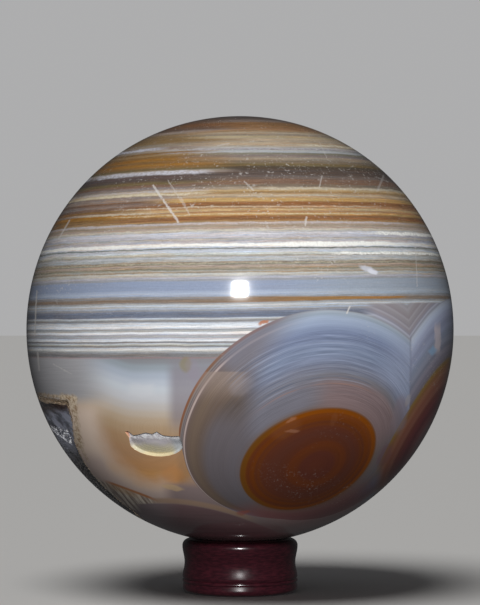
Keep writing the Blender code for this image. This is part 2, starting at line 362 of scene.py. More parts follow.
# Crisp threads along the layers: lumps along, lumps across, how rare, strength, tint
THREADS = [
    (0.7, 47.0, 0.52, 0.60, (1.14, 0.97, 0.82, 1.0)), (0.8, 45.0, 0.53, 0.60, (0.90, 1.00, 1.12, 1.0)),
    (1.9, 118.0, 0.56, 0.65, (1.30, 1.27, 1.22, 1.0)), (1.7, 125.0, 0.56, 0.65, (0.70, 0.66, 0.62, 1.0)),
    (3.4, 205.0, 0.58, 0.60, (1.36, 1.35, 1.34, 1.0)), (3.1, 215.0, 0.58, 0.60, (0.70, 0.68, 0.66, 1.0)),
]

# How far the eye's core spreads and how deep its rings are outside the core, in degrees, with the bulges
# of both round the eye: how many, how large, and where in degrees
CORE_SPREAD = 17.57
CORE_BULGES = [(1, 0.45, 43), (2, 0.88, 18)]
RINGS_DEPTH = 17.46
RINGS_BULGES = [(1, 9.5, 75), (2, 2.6, -15), (3, 0.73, -21)]
# The side eye's amber cap and the rings outside it, in degrees
CAP_SPREAD = 22.5
SIDE_DEPTH = 15.9

# The camera, the soft lamps and the small bright one
CAMERA_DISTANCE = 12 * BALL_RADIUS
CAMERA_RISE = 0.127 * BALL_RADIUS
CAMERA_LENS = 152.0
SOFT_RISE = 5.0 * BALL_RADIUS
SOFT_SIZE = 0.20
SPARK_RISE = 4.45 * BALL_RADIUS
SPARK_SIZE = 1.5 * BALL_RADIUS

# The most stops that one colour ramp takes here
RAMP_STOPS = 31


class Value:
    """What a socket puts out, so that sums of sockets and numbers read as plain sums."""

    def __init__(self, wiring, socket):
        self.wiring = wiring
        self.socket = socket

    def __add__(self, other):
        return self.wiring.math("ADD", self, other)

    def __radd__(self, other):
        return self.wiring.math("ADD", other, self)

    def __sub__(self, other):
        return self.wiring.math("SUBTRACT", self, other)

    def __rsub__(self, other):
        return self.wiring.math("SUBTRACT", other, self)

    def __mul__(self, other):
        return self.wiring.math("MULTIPLY", self, other)

    def __truediv__(self, other):
        return self.wiring.math("DIVIDE", self, other)

    def __rtruediv__(self, other):
        return self.wiring.math("DIVIDE", other, self)

    def __pow__(self, power):
        return self.wiring.math("POWER", self, power)

    def __abs__(self):
        return self.wiring.math("ABSOLUTE", self)


class Wiring:
    """Short ways to place nodes in one tree and join them."""

    def __init__(self, tree):
        self.tree = tree

    def add(self, kind, **settings):
        node = self.tree.nodes.new(kind)
        for name, value in settings.items():
            setattr(node, name, value)
        return node

    def join(self, value, socket):
        value = value.socket if isinstance(value, Value) else value
        if isinstance(value, bpy.types.NodeSocket):
            self.tree.links.new(value, socket)
        else:
            socket.default_value = value

    def supply(self, node, inputs):
        for name, value in inputs.items():
            self.join(value, node.inputs[name])

    def feed(self, node, inputs, output):
        """Supplies a node's inputs, by name or number, and gives what one of its outputs puts out."""
        self.supply(node, inputs)
        return Value(self, node.outputs[output])

    def math(self, operation, *values):
        return self.feed(self.add("ShaderNodeMath", operation=operation), dict(enumerate(values)), 0)

    def vector(self, operation, *values):
        output = "Value" if operation in ("DOT_PRODUCT", "LENGTH", "DISTANCE") else "Vector"
        node = self.add("ShaderNodeVectorMath", operation=operation)
        return self.feed(node, dict(enumerate(values)), output)

    def scale(self, vector, factor):
        node = self.add("ShaderNodeVectorMath", operation="SCALE")
        return self.feed(node, {0: vector, "Scale": factor}, "Vector")

    def parts(self, vector):
        axes = ((1.0, 0.0, 0.0), (0.0, 1.0, 0.0), (0.0, 0.0, 1.0))
        return [self.vector("DOT_PRODUCT", vector, axis) for axis in axes]

    def together(self, x, y, z):
        return self.feed(self.add("ShaderNodeCombineXYZ"), {0: x, 1: y, 2: z}, 0)

    def rise(self, value, start, end):
        """0 before start, 1 after end, smooth between. With start above end it falls."""
        node = self.add("ShaderNodeMapRange", interpolation_type="SMOOTHSTEP", clamp=False)
        low, high = (0.0, 1.0) if start < end else (1.0, 0.0)
        reach = {"From Min": min(start, end), "From Max": max(start, end), "To Min": low, "To Max": high}
        return self.feed(node, {"Value": value, **reach}, "Result")

    def within(self, value, start, end, soft):
        """1 between start and end, with soft shoulders."""
        return self.rise(value, start - soft, start + soft) * self.rise(value, end + soft, end - soft)

    def line(self, value, at, half_width):
        """1 on the line where value is at, fading out over a half width."""
        return self.rise(abs(value - at), half_width * 2.0, half_width * 0.4)

    def blend(self, mask, under, over, mode="MIX"):
        node = self.add("ShaderNodeMix", data_type="RGBA", blend_type=mode, clamp_factor=True)
        return self.feed(node, {"Factor": mask, 6: under, 7: over}, 2)

    def mix(self, mask, under, over):
        node = self.add("ShaderNodeMix", data_type="FLOAT", clamp_factor=True)
        return self.feed(node, {0: mask, 2: under, 3: over}, 0)

    def cloud(self, vector, size=1.0, detail=2.0, rough=0.5):
        """Soft noise from 0 to 1, one lump in about 1 / size."""
        node = self.add("ShaderNodeTexNoise", noise_dimensions="3D")
        lumps = {"Scale": size, "Detail": detail, "Roughness": rough}
        return self.feed(node, {"Vector": vector, **lumps}, "Fac")

    def bands(self, value, stops, alpha=False):
        """Colours along value, from as many ramps as the stops need. With alpha, that too."""
        stops = sorted(stops, key=lambda stop: stop[0])
        colour = None
        for start in range(0, len(stops) - 1, RAMP_STOPS - 1):
            part = stops[start : start + RAMP_STOPS]
            low, high = part[0][0], part[-1][0]
            reach = {"Value": value, "From Min": low, "From Max": high}
            share = self.feed(self.add("ShaderNodeMapRange", clamp=False), reach, "Result")
            ramp = self.add("ShaderNodeValToRGB")
            tints = self.feed(ramp, {"Fac": share}, "Color")
            ramp.color_ramp.interpolation = "EASE"
            elements = ramp.color_ramp.elements
            for element, at, tint in zip(elements, (0.0, 1.0), (part[0][1], part[-1][1])):
                element.position = at
                element.color = tint
            for at, tint in part[1:-1]:
                elements.new((at - low) / (high - low)).color = tint
            if colour is None:
                colour, strength = tints, ramp.outputs["Alpha"]
            else:
                above = self.math("GREATER_THAN", value, low)
                colour = self.blend(above, colour, tints)
                strength = self.mix(above, strength, ramp.outputs["Alpha"]) if alpha else strength
        return (colour, strength) if alpha else colour

    def stretch(self, place, x, y, z):
        node = self.add("ShaderNodeMapping", vector_type="POINT")
        return self.feed(node, {"Vector": place, "Scale": (x, y, z)}, "Vector")

    def streaks(self, place, along, value, across, detail=2.0, rough=0.6):
        """Noise drawn out along layers: across lumps per unit of value, along lumps per unit of place."""
        node = self.add("ShaderNodeTexNoise", noise_dimensions="4D")
        drawn = {"Vector": self.stretch(place, along, along, along * 0.3), "W": value * across}
        return self.feed(node, {**drawn, "Detail": detail, "Roughness": rough}, "Fac")

    def shade(self, colour, gain):
        """A colour made lighter or darker by a gain round 1."""
        node = self.add("ShaderNodeMix", data_type="RGBA", clamp_factor=False)
        return self.feed(node, {0: gain, 6: BLACK, 7: colour}, 2)

    def sway(self, noise_value, amount):
        """Noise from 0 to 1 as a push either way."""
        return (noise_value - 0.5) * amount

    def every(self, *masks):
        """The product of masks."""
        return functools.reduce(functools.partial(self.math, "MULTIPLY"), masks)

    def total(self, *values):
        return functools.reduce(functools.partial(self.math, "ADD"), values)

    def facing(self, turn, at, half, soft):
        """1 where turn is within half of at, all in degrees, with soft ends."""
        near = self.math("COSINE", turn - math.radians(at))
        return self.rise(near, math.cos(math.radians(half + soft)), math.cos(math.radians(half - soft)))

    def place(self, group, **values):
        node = self.add("ShaderNodeGroup", node_tree=group)
        self.supply(node, {name.replace("_", " "): value for name, value in values.items()})
        return {socket.name: Value(self, socket) for socket in node.outputs}

    def mark(self, group, place, along, **more):
        """The mask of a group that draws between two points of the shown side: across and up, twice."""
        ends = {"From": (along[0], 0.0, along[1]), "To": (along[2], 0.0, along[3])}
        return self.place(group, Place=place, **ends, **more)["Mask"]

    def patch(self, group, place, at_x, at_z, half_x, half_z, turn, square):
        """The mask of a soft patch on the shown side."""
        sizes = {"Half_Width": half_x, "Half_Height": half_z, "Squareness": square}
        centre = (at_x, 0.0, at_z)
        return self.place(group, Place=place, Centre=centre, Turn=math.radians(turn), **sizes)["Mask"]


KINDS = {
    "vector": "NodeSocketVector", "value": "NodeSocketFloat", "colour": "NodeSocketColor",
    "number": "NodeSocketInt", "geometry": "NodeSocketGeometry", "finish": "NodeSocketMaterial",
}
MESH_OUT = {"Geometry": "geometry"}


def new_group(name, inputs, outputs, kind="ShaderNodeTree"):
    """An empty node group with named sockets: its tree, its wiring, its inputs and its outputs."""
    tree = bpy.data.node_groups.new(name, kind)
    for way, sockets in (("INPUT", inputs), ("OUTPUT", outputs)):
        for label, given in sockets.items():
            tree.interface.new_socket(name=label, in_out=way, socket_type=KINDS[given])
    start = tree.nodes.new("NodeGroupInput")
    result = tree.nodes.new("NodeGroupOutput")
    w = Wiring(tree)
    return tree, w, {socket.name: Value(w, socket) for socket in start.outputs}, result.inputs


def level_group():
    """The level layers: flat seams of colour through the whole stone, faded and streaked along them."""
    outputs = {"Colour": "colour", "Height": "value"}
    tree, w, given, result = new_group("level_layers", {"Place": "vector", "Spot": "vector"}, outputs)
    place, spot = given["Place"], given["Spot"]
    x, y, z = w.parts(spot)
    tilted = w.vector("DOT_PRODUCT", spot, (-0.0155, 0.005, 1.0))
    ragged = w.math("MAXIMUM", w.within(tilted, 0.25, 0.46, 0.02), w.within(tilted, 0.60, 0.64, 0.01))
    ragged = 0.25 + ragged * 0.75
    torn = w.sway(w.cloud(w.stretch(place, 22.0, 22.0, 50.0), 1.0, 3.0, 0.7), 0.010) * ragged
    wavy = w.sway(w.cloud(place, 1.6, 1.0), 0.012)
    height = w.total(tilted, wavy, w.sway(w.cloud(place, 7.0, 2.0), 0.005), torn)
    w.join(height, result["Height"])

    plain = w.bands(height, LEVEL_BANDS)
    stained = w.bands(height, STAINED_BANDS)
    side = x + w.sway(w.cloud(w.stretch(place, 1.5, 1.5, 21.0)), 0.8)
    lower = w.rise(height, 0.63, 0.60) * 0.34
    stain = w.every(w.rise(side + lower, 0.05, -0.25), w.rise(height, 0.476, 0.492))
    colour = w.blend(stain, plain, stained)

    paler = w.every(w.within(height, 0.15, 0.222, 0.006), w.rise(x, 0.05, 0.60), 0.5)
    colour = w.blend(paler, colour, tone(160, 168, 172))

    # The iron line, which thins out to the right and ends there
    half = 0.0125 - w.rise(x, -0.2, 0.78) * 0.009
    away = abs(height - 0.136)
    iron = w.every(w.rise(away - half, 0.004, -0.002), w.rise(x, 0.76, 0.70), w.rise(y, 0.2, 0.0))
    rust = w.blend(w.rise(x, -0.15, 0.5), tone(122, 106, 92), tone(152, 114, 68))
    colour = w.blend(iron * w.mix(w.rise(x, -0.25, 0.05), 0.35, 0.95), colour, rust)

    # Thin streaks: noise that is long across and very short in height
    even = 1.0 - w.within(height, 0.160, 0.222, 0.012) * 0.7
    even = even + w.within(height, 0.470, 0.600, 0.010) * 0.45
    even = even + w.within(height, 0.245, 0.440, 0.010) * 0.30
    gain = 0.0
    for along, across, amount, detail in STREAKS:
        gain = gain + w.sway(w.streaks(place, along, height, across, detail, 0.66), amount)
    gain = w.total(gain * even, 1.0, w.sway(w.cloud(place, 150.0, 3.0, 0.7), 0.34))
    colour = w.shade(colour, gain)

    # Crisp threads that run out to a point: warm, cool, pale and dark
    for along, across, low, strength, tint in THREADS:
        chosen = w.rise(w.streaks(place, along, height, across, 3.0, 0.6), low, low + 0.05)
        colour = w.blend(w.every(chosen, even, strength), colour, tint, "MULTIPLY")
    w.join(colour, result["Colour"])
    return tree


def line_stops(lines):
    """Ramp stops, with alpha, for thin lines: where, half width, strength and colour of each."""
    stops = []
    for at, half_width, strength, colour in lines:
        shown, hidden = (*colour[:3], strength), (*colour[:3], 0.0)
        stops += [(at - half_width * 1.3, hidden), (at - half_width * 0.5, shown)]
        stops += [(at + half_width * 0.5, shown), (at + half_width * 1.3, hidden)]
    return stops


def chalk_part(w, place, x, height):
    """Ragged chalky seams along the layers: a colour and a mask for each stretch of them."""
    ragged = w.cloud(w.stretch(place, 18.0, 18.0, 60.0), 1.0, 3.0, 0.7)
    torn = height + w.sway(ragged, 0.015)
    broken = w.rise(w.cloud(w.stretch(place, 5.0, 5.0, 12.0), 1.0, 4.0, 0.75), 0.26, 0.46)
    grain = 0.55 + w.rise(w.cloud(place, 85.0, 3.0, 0.7), 0.40, 0.56) * 0.50
    grain = grain * broken
    soft = 0.06
    for start, end, seams in SEAMS:
        colour, strength = w.bands(torn, line_stops(seams), True)
        yield colour, w.every(strength, grain, w.within(x, start, end, soft))


def patch_group():
    """A soft uneven patch on the shown side, from an oval (squareness 2) to a box (6)."""
    inputs = {"Place": "vector", "Centre": "vector", "Half Width": "value", "Half Height": "value"}
    inputs.update({"Turn": "value", "Squareness": "value"})
    tree, w, given, result = new_group("soft_patch", inputs, {"Mask": "value"})
    x, y, z = w.parts(w.vector("SUBTRACT", given["Place"], given["Centre"]))
    cosine, sine = w.math("COSINE", given["Turn"]), w.math("SINE", given["Turn"])
    along = x * cosine + z * sine
    across = z * cosine - x * sine
    reach = 0.0
    for part, half in ((along, "Half Width"), (across, "Half Height")):
        share = abs(part / given[half])
        reach = reach + w.math("POWER", share, given["Squareness"])
    reach = w.math("POWER", reach, 1.0 / given["Squareness"])
    w.join(w.rise(reach, 1.3, 0.6), result["Mask"])
    return tree


def polar_group():
    """How far a place spreads from an axis, in degrees, and its turn round the axis, in radians."""
    inputs = dict.fromkeys(("Way", "Axis", "Across", "Up"), "vector")
    outputs = dict.fromkeys(("Spread", "Turn"), "value")
    tree, w, given, result = new_group("round_an_axis", inputs, outputs)
    way = given["Way"]
    side = w.vector("DOT_PRODUCT", way, given["Across"])
    rise = w.vector("DOT_PRODUCT", way, given["Up"])
    along = w.vector("DOT_PRODUCT", way, given["Axis"])
    w.join(w.math("DEGREES", w.math("ARCCOSINE", along)), result["Spread"])
    w.join(w.math("ARCTAN2", rise, side), result["Turn"])
    return tree


def scratch_group():
    """One straight scratch on the shown side, a broken white line between two points."""
    inputs = {"Place": "vector", "From": "vector", "To": "vector", "Half Width": "value"}
    tree, w, given, result = new_group("scratch", inputs, {"Mask": "value"})
    x, y, z = w.parts(given["Place"])
    flat = w.together(x, 0.0, z)
    run = w.vector("SUBTRACT", given["To"], given["From"])
    reach = w.vector("SUBTRACT", flat, given["From"])
    share = w.vector("DOT_PRODUCT", reach, run) / w.vector("DOT_PRODUCT", run, run)
    share = w.math("MINIMUM", w.math("MAXIMUM", share, 0.0), 1.0)
    nearest = w.vector("ADD", given["From"], w.scale(run, share))
    away = w.vector("DISTANCE", flat, nearest)
    mask = w.rise(away / given["Half Width"], 1.3, 0.3)
    w.join(mask, result["Mask"])
    return tree


def speck_group():
    """Tiny specks, one in some cells of a scattered pattern."""
    inputs = {"Place": "vector", "Size": "value", "Share": "value"}
    tree, w, given, result = new_group("specks", inputs, {"Mask": "value"})
    cells = w.add("ShaderNodeTexVoronoi", feature="F1", distance="EUCLIDEAN")
    bent = w.add("ShaderNodeTexNoise", noise_dimensions="3D")
    bent = w.feed(bent, {"Vector": given["Place"], "Scale": 130.0}, "Color")
    bent = w.vector("ADD", given["Place"], w.scale(bent, 0.011))
    w.supply(cells, {"Vector": bent, "Scale": given["Size"]})
    random = w.add("ShaderNodeSeparateColor")
    w.join(cells.outputs["Color"], random.inputs[0])
    chosen, bright, reach = [Value(w, socket) for socket in random.outputs]
    picked = w.math("LESS_THAN", chosen, given["Share"])
    size = 0.08 + reach * reach * 0.24
    dot = w.rise(cells.outputs["Distance"] / size, 1.2, 0.5)
    w.join(w.every(dot, picked, 0.35 + bright * 0.65), result["Mask"])
    return tree


def unit(x, y, z):
    return tuple(Vector((x, y, z)).normalized())


# The pit's directions: straight out of the surface, across, and up along it
PIT_OUT = Vector(
    (
        math.sin(PIT_TURN) * math.cos(PIT_RISE),
        -math.cos(PIT_TURN) * math.cos(PIT_RISE),
        math.sin(PIT_RISE),
    )
)
PIT_ACROSS = Vector((math.cos(PIT_TURN), math.sin(PIT_TURN), 0.0))
PIT_UP = PIT_OUT.cross(PIT_ACROSS)

# The eye's axis and the directions across and up round it, in ball radii
EYE_AXIS = unit(0.312, -0.739, -0.597)
EYE_ACROSS = unit(0.921, 0.389, 0.0)
EYE_UP = unit(0.232, -0.550, 0.802)
SIDE_AXIS = unit(0.845, -0.200, -0.497)
BACK_AXIS = unit(-0.25, 0.80, -0.55)


def wave(w, turn, times, amount, phase):
    """amount times the cosine of times * (turn - phase)."""
    angle = (turn - math.radians(phase)) * float(times)
    return w.math("COSINE", angle) * amount


def eye_part(w, polar, place, way, warp):
    """The eye's colour, the degrees past its outer wall, and its mask. Its rings count from 0 in the middle
    over 1 at the core's edge to 2 at the outer wall."""
    x, y, z = w.parts(way)
    eye = w.place(polar, Way=way, Axis=EYE_AXIS, Across=EYE_ACROSS, Up=EYE_UP)
    turn = eye["Turn"]
    core = w.total(CORE_SPREAD, *(wave(w, turn, *bulge) for bulge in CORE_BULGES))
    depth = w.total(RINGS_DEPTH, *(wave(w, turn, *bulge) for bulge in RINGS_BULGES))
    spread = eye["Spread"] + warp * 0.35
    inner = spread / core
    outer = 1.0 + (spread - core) / depth
    rings = w.mix(w.math("GREATER_THAN", inner, 1.0), inner, outer)
    outside = w.rise(rings, 1.0, 1.02)
    leaned = turn + (rings - 1.5)
    left = w.facing(leaned, 193, 61, 13)
    low = w.facing(turn, 283, 46, 16)

    moved = wave(w, turn, 1, -0.085, 5) * w.rise(rings, 0.72, 0.45)
    colour = w.bands(rings + moved, EYE_RINGS)
    lines = w.streaks(place, 1.2, rings, 30.0, 2.0, 0.65)
    fine = w.streaks(place, 2.0, rings, 90.0, 1.0)
    strong = w.every(w.within(rings, 1.10, 1.80, 0.06), w.facing(turn, 85, 62, 22))
    gain = w.total(1.0, w.sway(lines, 1.0) * (0.34 + strong * 0.7))
    gain = gain + w.sway(fine, 1.0) * (0.16 + strong * 0.5)
    pinker = w.every(outside, w.rise(rings, 1.40, 1.20), w.facing(turn, 52, 40, 14))
    colour = w.blend(pinker * 0.8, colour, tone(136, 115, 116))
    cool = w.every(w.within(rings, 1.04, 1.42, 0.04), w.facing(turn, 130, 30, 14))
    colour = w.blend(cool * 0.7, colour, tone(121, 122, 135))
    lilac = w.every(w.within(rings, 1.45, 1.97, 0.08), w.facing(turn, 18, 34, 14))
    colour = w.blend(lilac * 0.75, colour, tone(158, 167, 192))
    side_colour = w.bands(rings, LEFT_RINGS)
    bluer = w.every(w.rise(x, -0.13, -0.02), w.rise(z, -0.28, -0.12), 0.8)
    side_colour = w.blend(bluer, side_colour, tone(122, 122, 134))
    shelf = z + warp * 0.004
    under_shelf = w.every(
        w.rise(shelf, -0.168, -0.176), w.rise(x, 0.06, -0.02), w.rise(shelf, -0.32, -0.20)
    )
    side_colour = w.blend(under_shelf * 0.65, side_colour, tone(150, 134, 125))
    bluish = w.every(w.rise(z, -0.28, -0.44), w.rise(rings, 1.72, 1.50), 0.70)
    side_colour = w.blend(bluish, side_colour, tone(112, 107, 114))
    colour = w.blend(left * outside, colour, side_colour)
    drawn = rings + w.sway(w.cloud(place, 9.0, 2.0), 0.020)
    line_colour, line_strength = w.bands(drawn, line_stops(EYE_LINES), True)
    broken = w.every(w.rise(w.cloud(place, 5.0, 2.0), 0.34, 0.60), w.mix(w.rise(x, 0.45, 0.66), 0.72, 0.30))
    colour = w.blend(w.every(line_strength, w.facing(turn, 88, 54, 22), broken), colour, line_colour)
    colour = w.blend(low * outside, colour, w.bands(rings, LOW_RINGS))
    colour = w.shade(colour, gain)

    # The rust outline at the upper left and the core's brighter upper edge
    rust = w.every(w.line(rings, 1.985, 0.016), w.facing(turn, 148, 36, 8))
    rust = rust * w.mix(w.facing(turn, 172, 18, 12), 0.35, 0.75)
    colour = w.blend(rust, colour, tone(142, 90, 62))
    glow = w.every(w.within(rings, 0.86, 0.99, 0.03), w.facing(turn, 70, 60, 30))
    colour = w.blend(glow * 0.25, colour, tone(146, 78, 10))
    olive = w.every(w.within(rings, 0.93, 1.01, 0.02), w.facing(turn, 190, 50, 20))
    colour = w.blend(olive * 0.7, colour, tone(104, 70, 24))
    past = (rings - 2.0) * depth
    edge = 2.0 - w.facing(turn, 225, 45, 8) * 0.075
    inside = w.rise(rings - edge, 0.0, -0.012)
    return colour, past, inside


def side_part(w, polar, place, way, warp):
    """The side eye's colour, its ring number, the degrees past its wall, and the mask of its amber cap."""
    side = w.place(polar, Way=way, Axis=SIDE_AXIS, Across=(0.0, 1.0, 0.0), Up=(0.0, 0.0, 1.0))
    spread = side["Spread"] + warp * 0.8
    inner = spread / CAP_SPREAD
    outer = 1.0 + (spread - CAP_SPREAD) / SIDE_DEPTH
    rings = w.mix(w.math("GREATER_THAN", inner, 1.0), inner, outer)
    colour = w.bands(rings, SIDE_RINGS)
    gain = 1.0
    for across, amount in ((26.0, 0.45), (80.0, 0.30)):
        gain = gain + w.sway(w.streaks(place, 1.0, rings, across), amount)
    colour = w.shade(colour, gain)
    past = (rings - 2.0) * SIDE_DEPTH
    return colour, rings, past, w.rise(inner, 1.0, 0.985)


def hollow_part(w, place, way, height, warp, lining):
    """The lower left of the shown side: the milky hollow, its honey bowl and the curved bands under it."""
    x, y, z = w.parts(way)
    left = w.rise(x, -0.45, -0.68)
    hollow_height = w.total(z, warp * 0.012, left * -0.05)
    colour = w.bands(hollow_height, HOLLOW_BANDS)
    sideways = (x + 0.40) * 1.15
    bowl = w.math("SQRT", sideways ** 2.0 + (z + 0.42) ** 2.0)
    bowl = bowl + warp * 0.008
    arcs = w.streaks(place, 1.0, bowl, 30.0)
    colour = w.shade(colour, 1.0 + w.sway(arcs, 0.22) * w.rise(z, -0.34, -0.44))
    cloudy = bowl + w.sway(w.cloud(place, 5.0, 3.0), 0.10)
    rim = w.every(w.rise(cloudy, 0.185, 0.315), w.rise(z, -0.27, -0.38), w.rise(x, -0.26, -0.36))
    colour = w.blend(rim, colour, tone(232, 210, 192))
    lilac = w.every(w.rise(cloudy, 0.26, 0.31), w.rise(z, -0.52, -0.60))
    colour = w.blend(lilac * 0.8, colour, tone(206, 184, 176))
    grey_side = w.every(w.rise(x, -0.54, -0.74), w.rise(z, -0.34, -0.27))
    grey = w.shade(tone(170, 169, 172), 1.0 + w.sway(w.streaks(place, 1.0, height, 110.0), 0.5))
    colour = w.blend(grey_side, colour, grey)
    shadow = w.every(w.rise(x, -0.335, -0.275), w.within(z, -0.42, -0.13, 0.06))
    colour = w.blend(shadow * 0.75, colour, tone(136, 127, 134))
    tan_side = w.every(w.rise(x, -0.29, -0.255), w.rise(z, -0.42, -0.48))
    colour = w.blend(tan_side * 0.6, colour, tone(172, 136, 104))

    # Under the bowl: mauve grey, a cream band, and the dark base
    shift = x + 0.32
    base_edge = -0.775 - shift * shift * 0.6
    over_base = w.total(z, base_edge * -1.0, warp * 0.003)
    low = w.every(w.rise(z, -0.66, -0.70), w.rise(x, -0.36, -0.28))
    colour = w.blend(low, colour, tone(158, 139, 137))
    cream = w.every(w.within(over_base, 0.0, 0.026, 0.008), w.within(x, -0.42, 0.04, 0.06))
    colour = w.blend(cream * 0.8, colour, tone(186, 154, 128))
    run = x + 0.6
    streak_height = w.total(-0.688, run * -0.27, run * run * -0.25)
    over_streak = w.total(z, streak_height * -1.0, warp * 0.002)
    lean = x + z * 0.7
    fibres = w.cloud(w.together(lean * 70.0, 0.0, z * 9.0), 1.0, 3.0, 0.7)
    fibrous = w.blend(w.rise(fibres, 0.38, 0.62), tone(150, 132, 122), tone(238, 226, 208))
    jagged = over_streak + w.sway(fibres, 0.05)
    fringe = w.every(
        w.rise(over_streak, 0.0, -0.012), w.rise(x, -0.36, -0.42), w.rise(jagged, -0.105, -0.092)
    )
    beyond = w.every(w.rise(jagged, -0.092, -0.105), w.rise(x, -0.36, -0.42))
    colour = w.blend(beyond, colour, tone(112, 96, 94))
    colour = w.blend(fringe, colour, fibrous)
    streak = w.every(w.line(over_streak, 0.0, 0.005), w.within(x, -0.60, -0.39, 0.03))
    colour = w.blend(streak * 0.9, colour, tone(186, 118, 62))
    under = w.every(w.within(over_streak, -0.030, -0.004, 0.010), w.within(x, -0.60, -0.46, 0.05))
    colour = w.blend(under * 0.5, colour, tone(190, 148, 100))
    plum = w.blend(w.rise(x, -0.25, -0.40), tone(134, 106, 108), tone(150, 134, 136))
    plum = w.blend(w.rise(x, -0.1, 0.3), plum, tone(160, 124, 124))
    streaks = w.cloud(w.stretch(place, 3.0, 3.0, 60.0), 1.0, 3.0)
    plum = w.shade(plum, 1.0 + w.sway(streaks, 0.5))
    in_base = w.every(w.rise(over_base, 0.004, -0.006), w.rise(x, -0.50, -0.44))
    colour = w.blend(in_base, colour, plum)
    return w.blend(w.rise(x, 0.05, 0.30), colour, lining)


def pit_part(w, place, spot):
    """The fresh break in the open pit: crushed white under the lip, grey lilac and straw, a cream foot."""
    reach = BALL_RADIUS / MM
    across = w.vector("DOT_PRODUCT", spot, tuple(PIT_ACROSS)) * reach
    rise = w.vector("DOT_PRODUCT", spot, tuple(PIT_UP)) * reach
    grain = w.cloud(place, 70.0, 4.0, 0.7)
    warped = rise + w.sway(w.cloud(place, 30.0, 3.0), 1.2)
    floor = w.blend(w.rise(warped, 0.2, -1.2), tone(198, 192, 196), tone(196, 188, 160))
    ends = w.rise(across, 2.0, 3.2)
    floor = w.blend(ends * 0.8, floor, tone(184, 190, 196))
    crushed = w.blend(w.rise(grain, 0.36, 0.60), tone(210, 204, 208), tone(246, 246, 248))
    colour = w.blend(w.rise(warped, 0.35, 0.95), floor, crushed)
    foot = w.every(w.rise(rise, -1.66, -1.90), w.rise(abs(across), 3.2, 2.2))
    colour = w.blend(foot, colour, tone(212, 198, 160))
    tip = w.every(w.rise(across, -3.7, -4.2), w.rise(rise, 0.4, 0.9))
    return w.blend(tip, colour, tone(206, 150, 120))


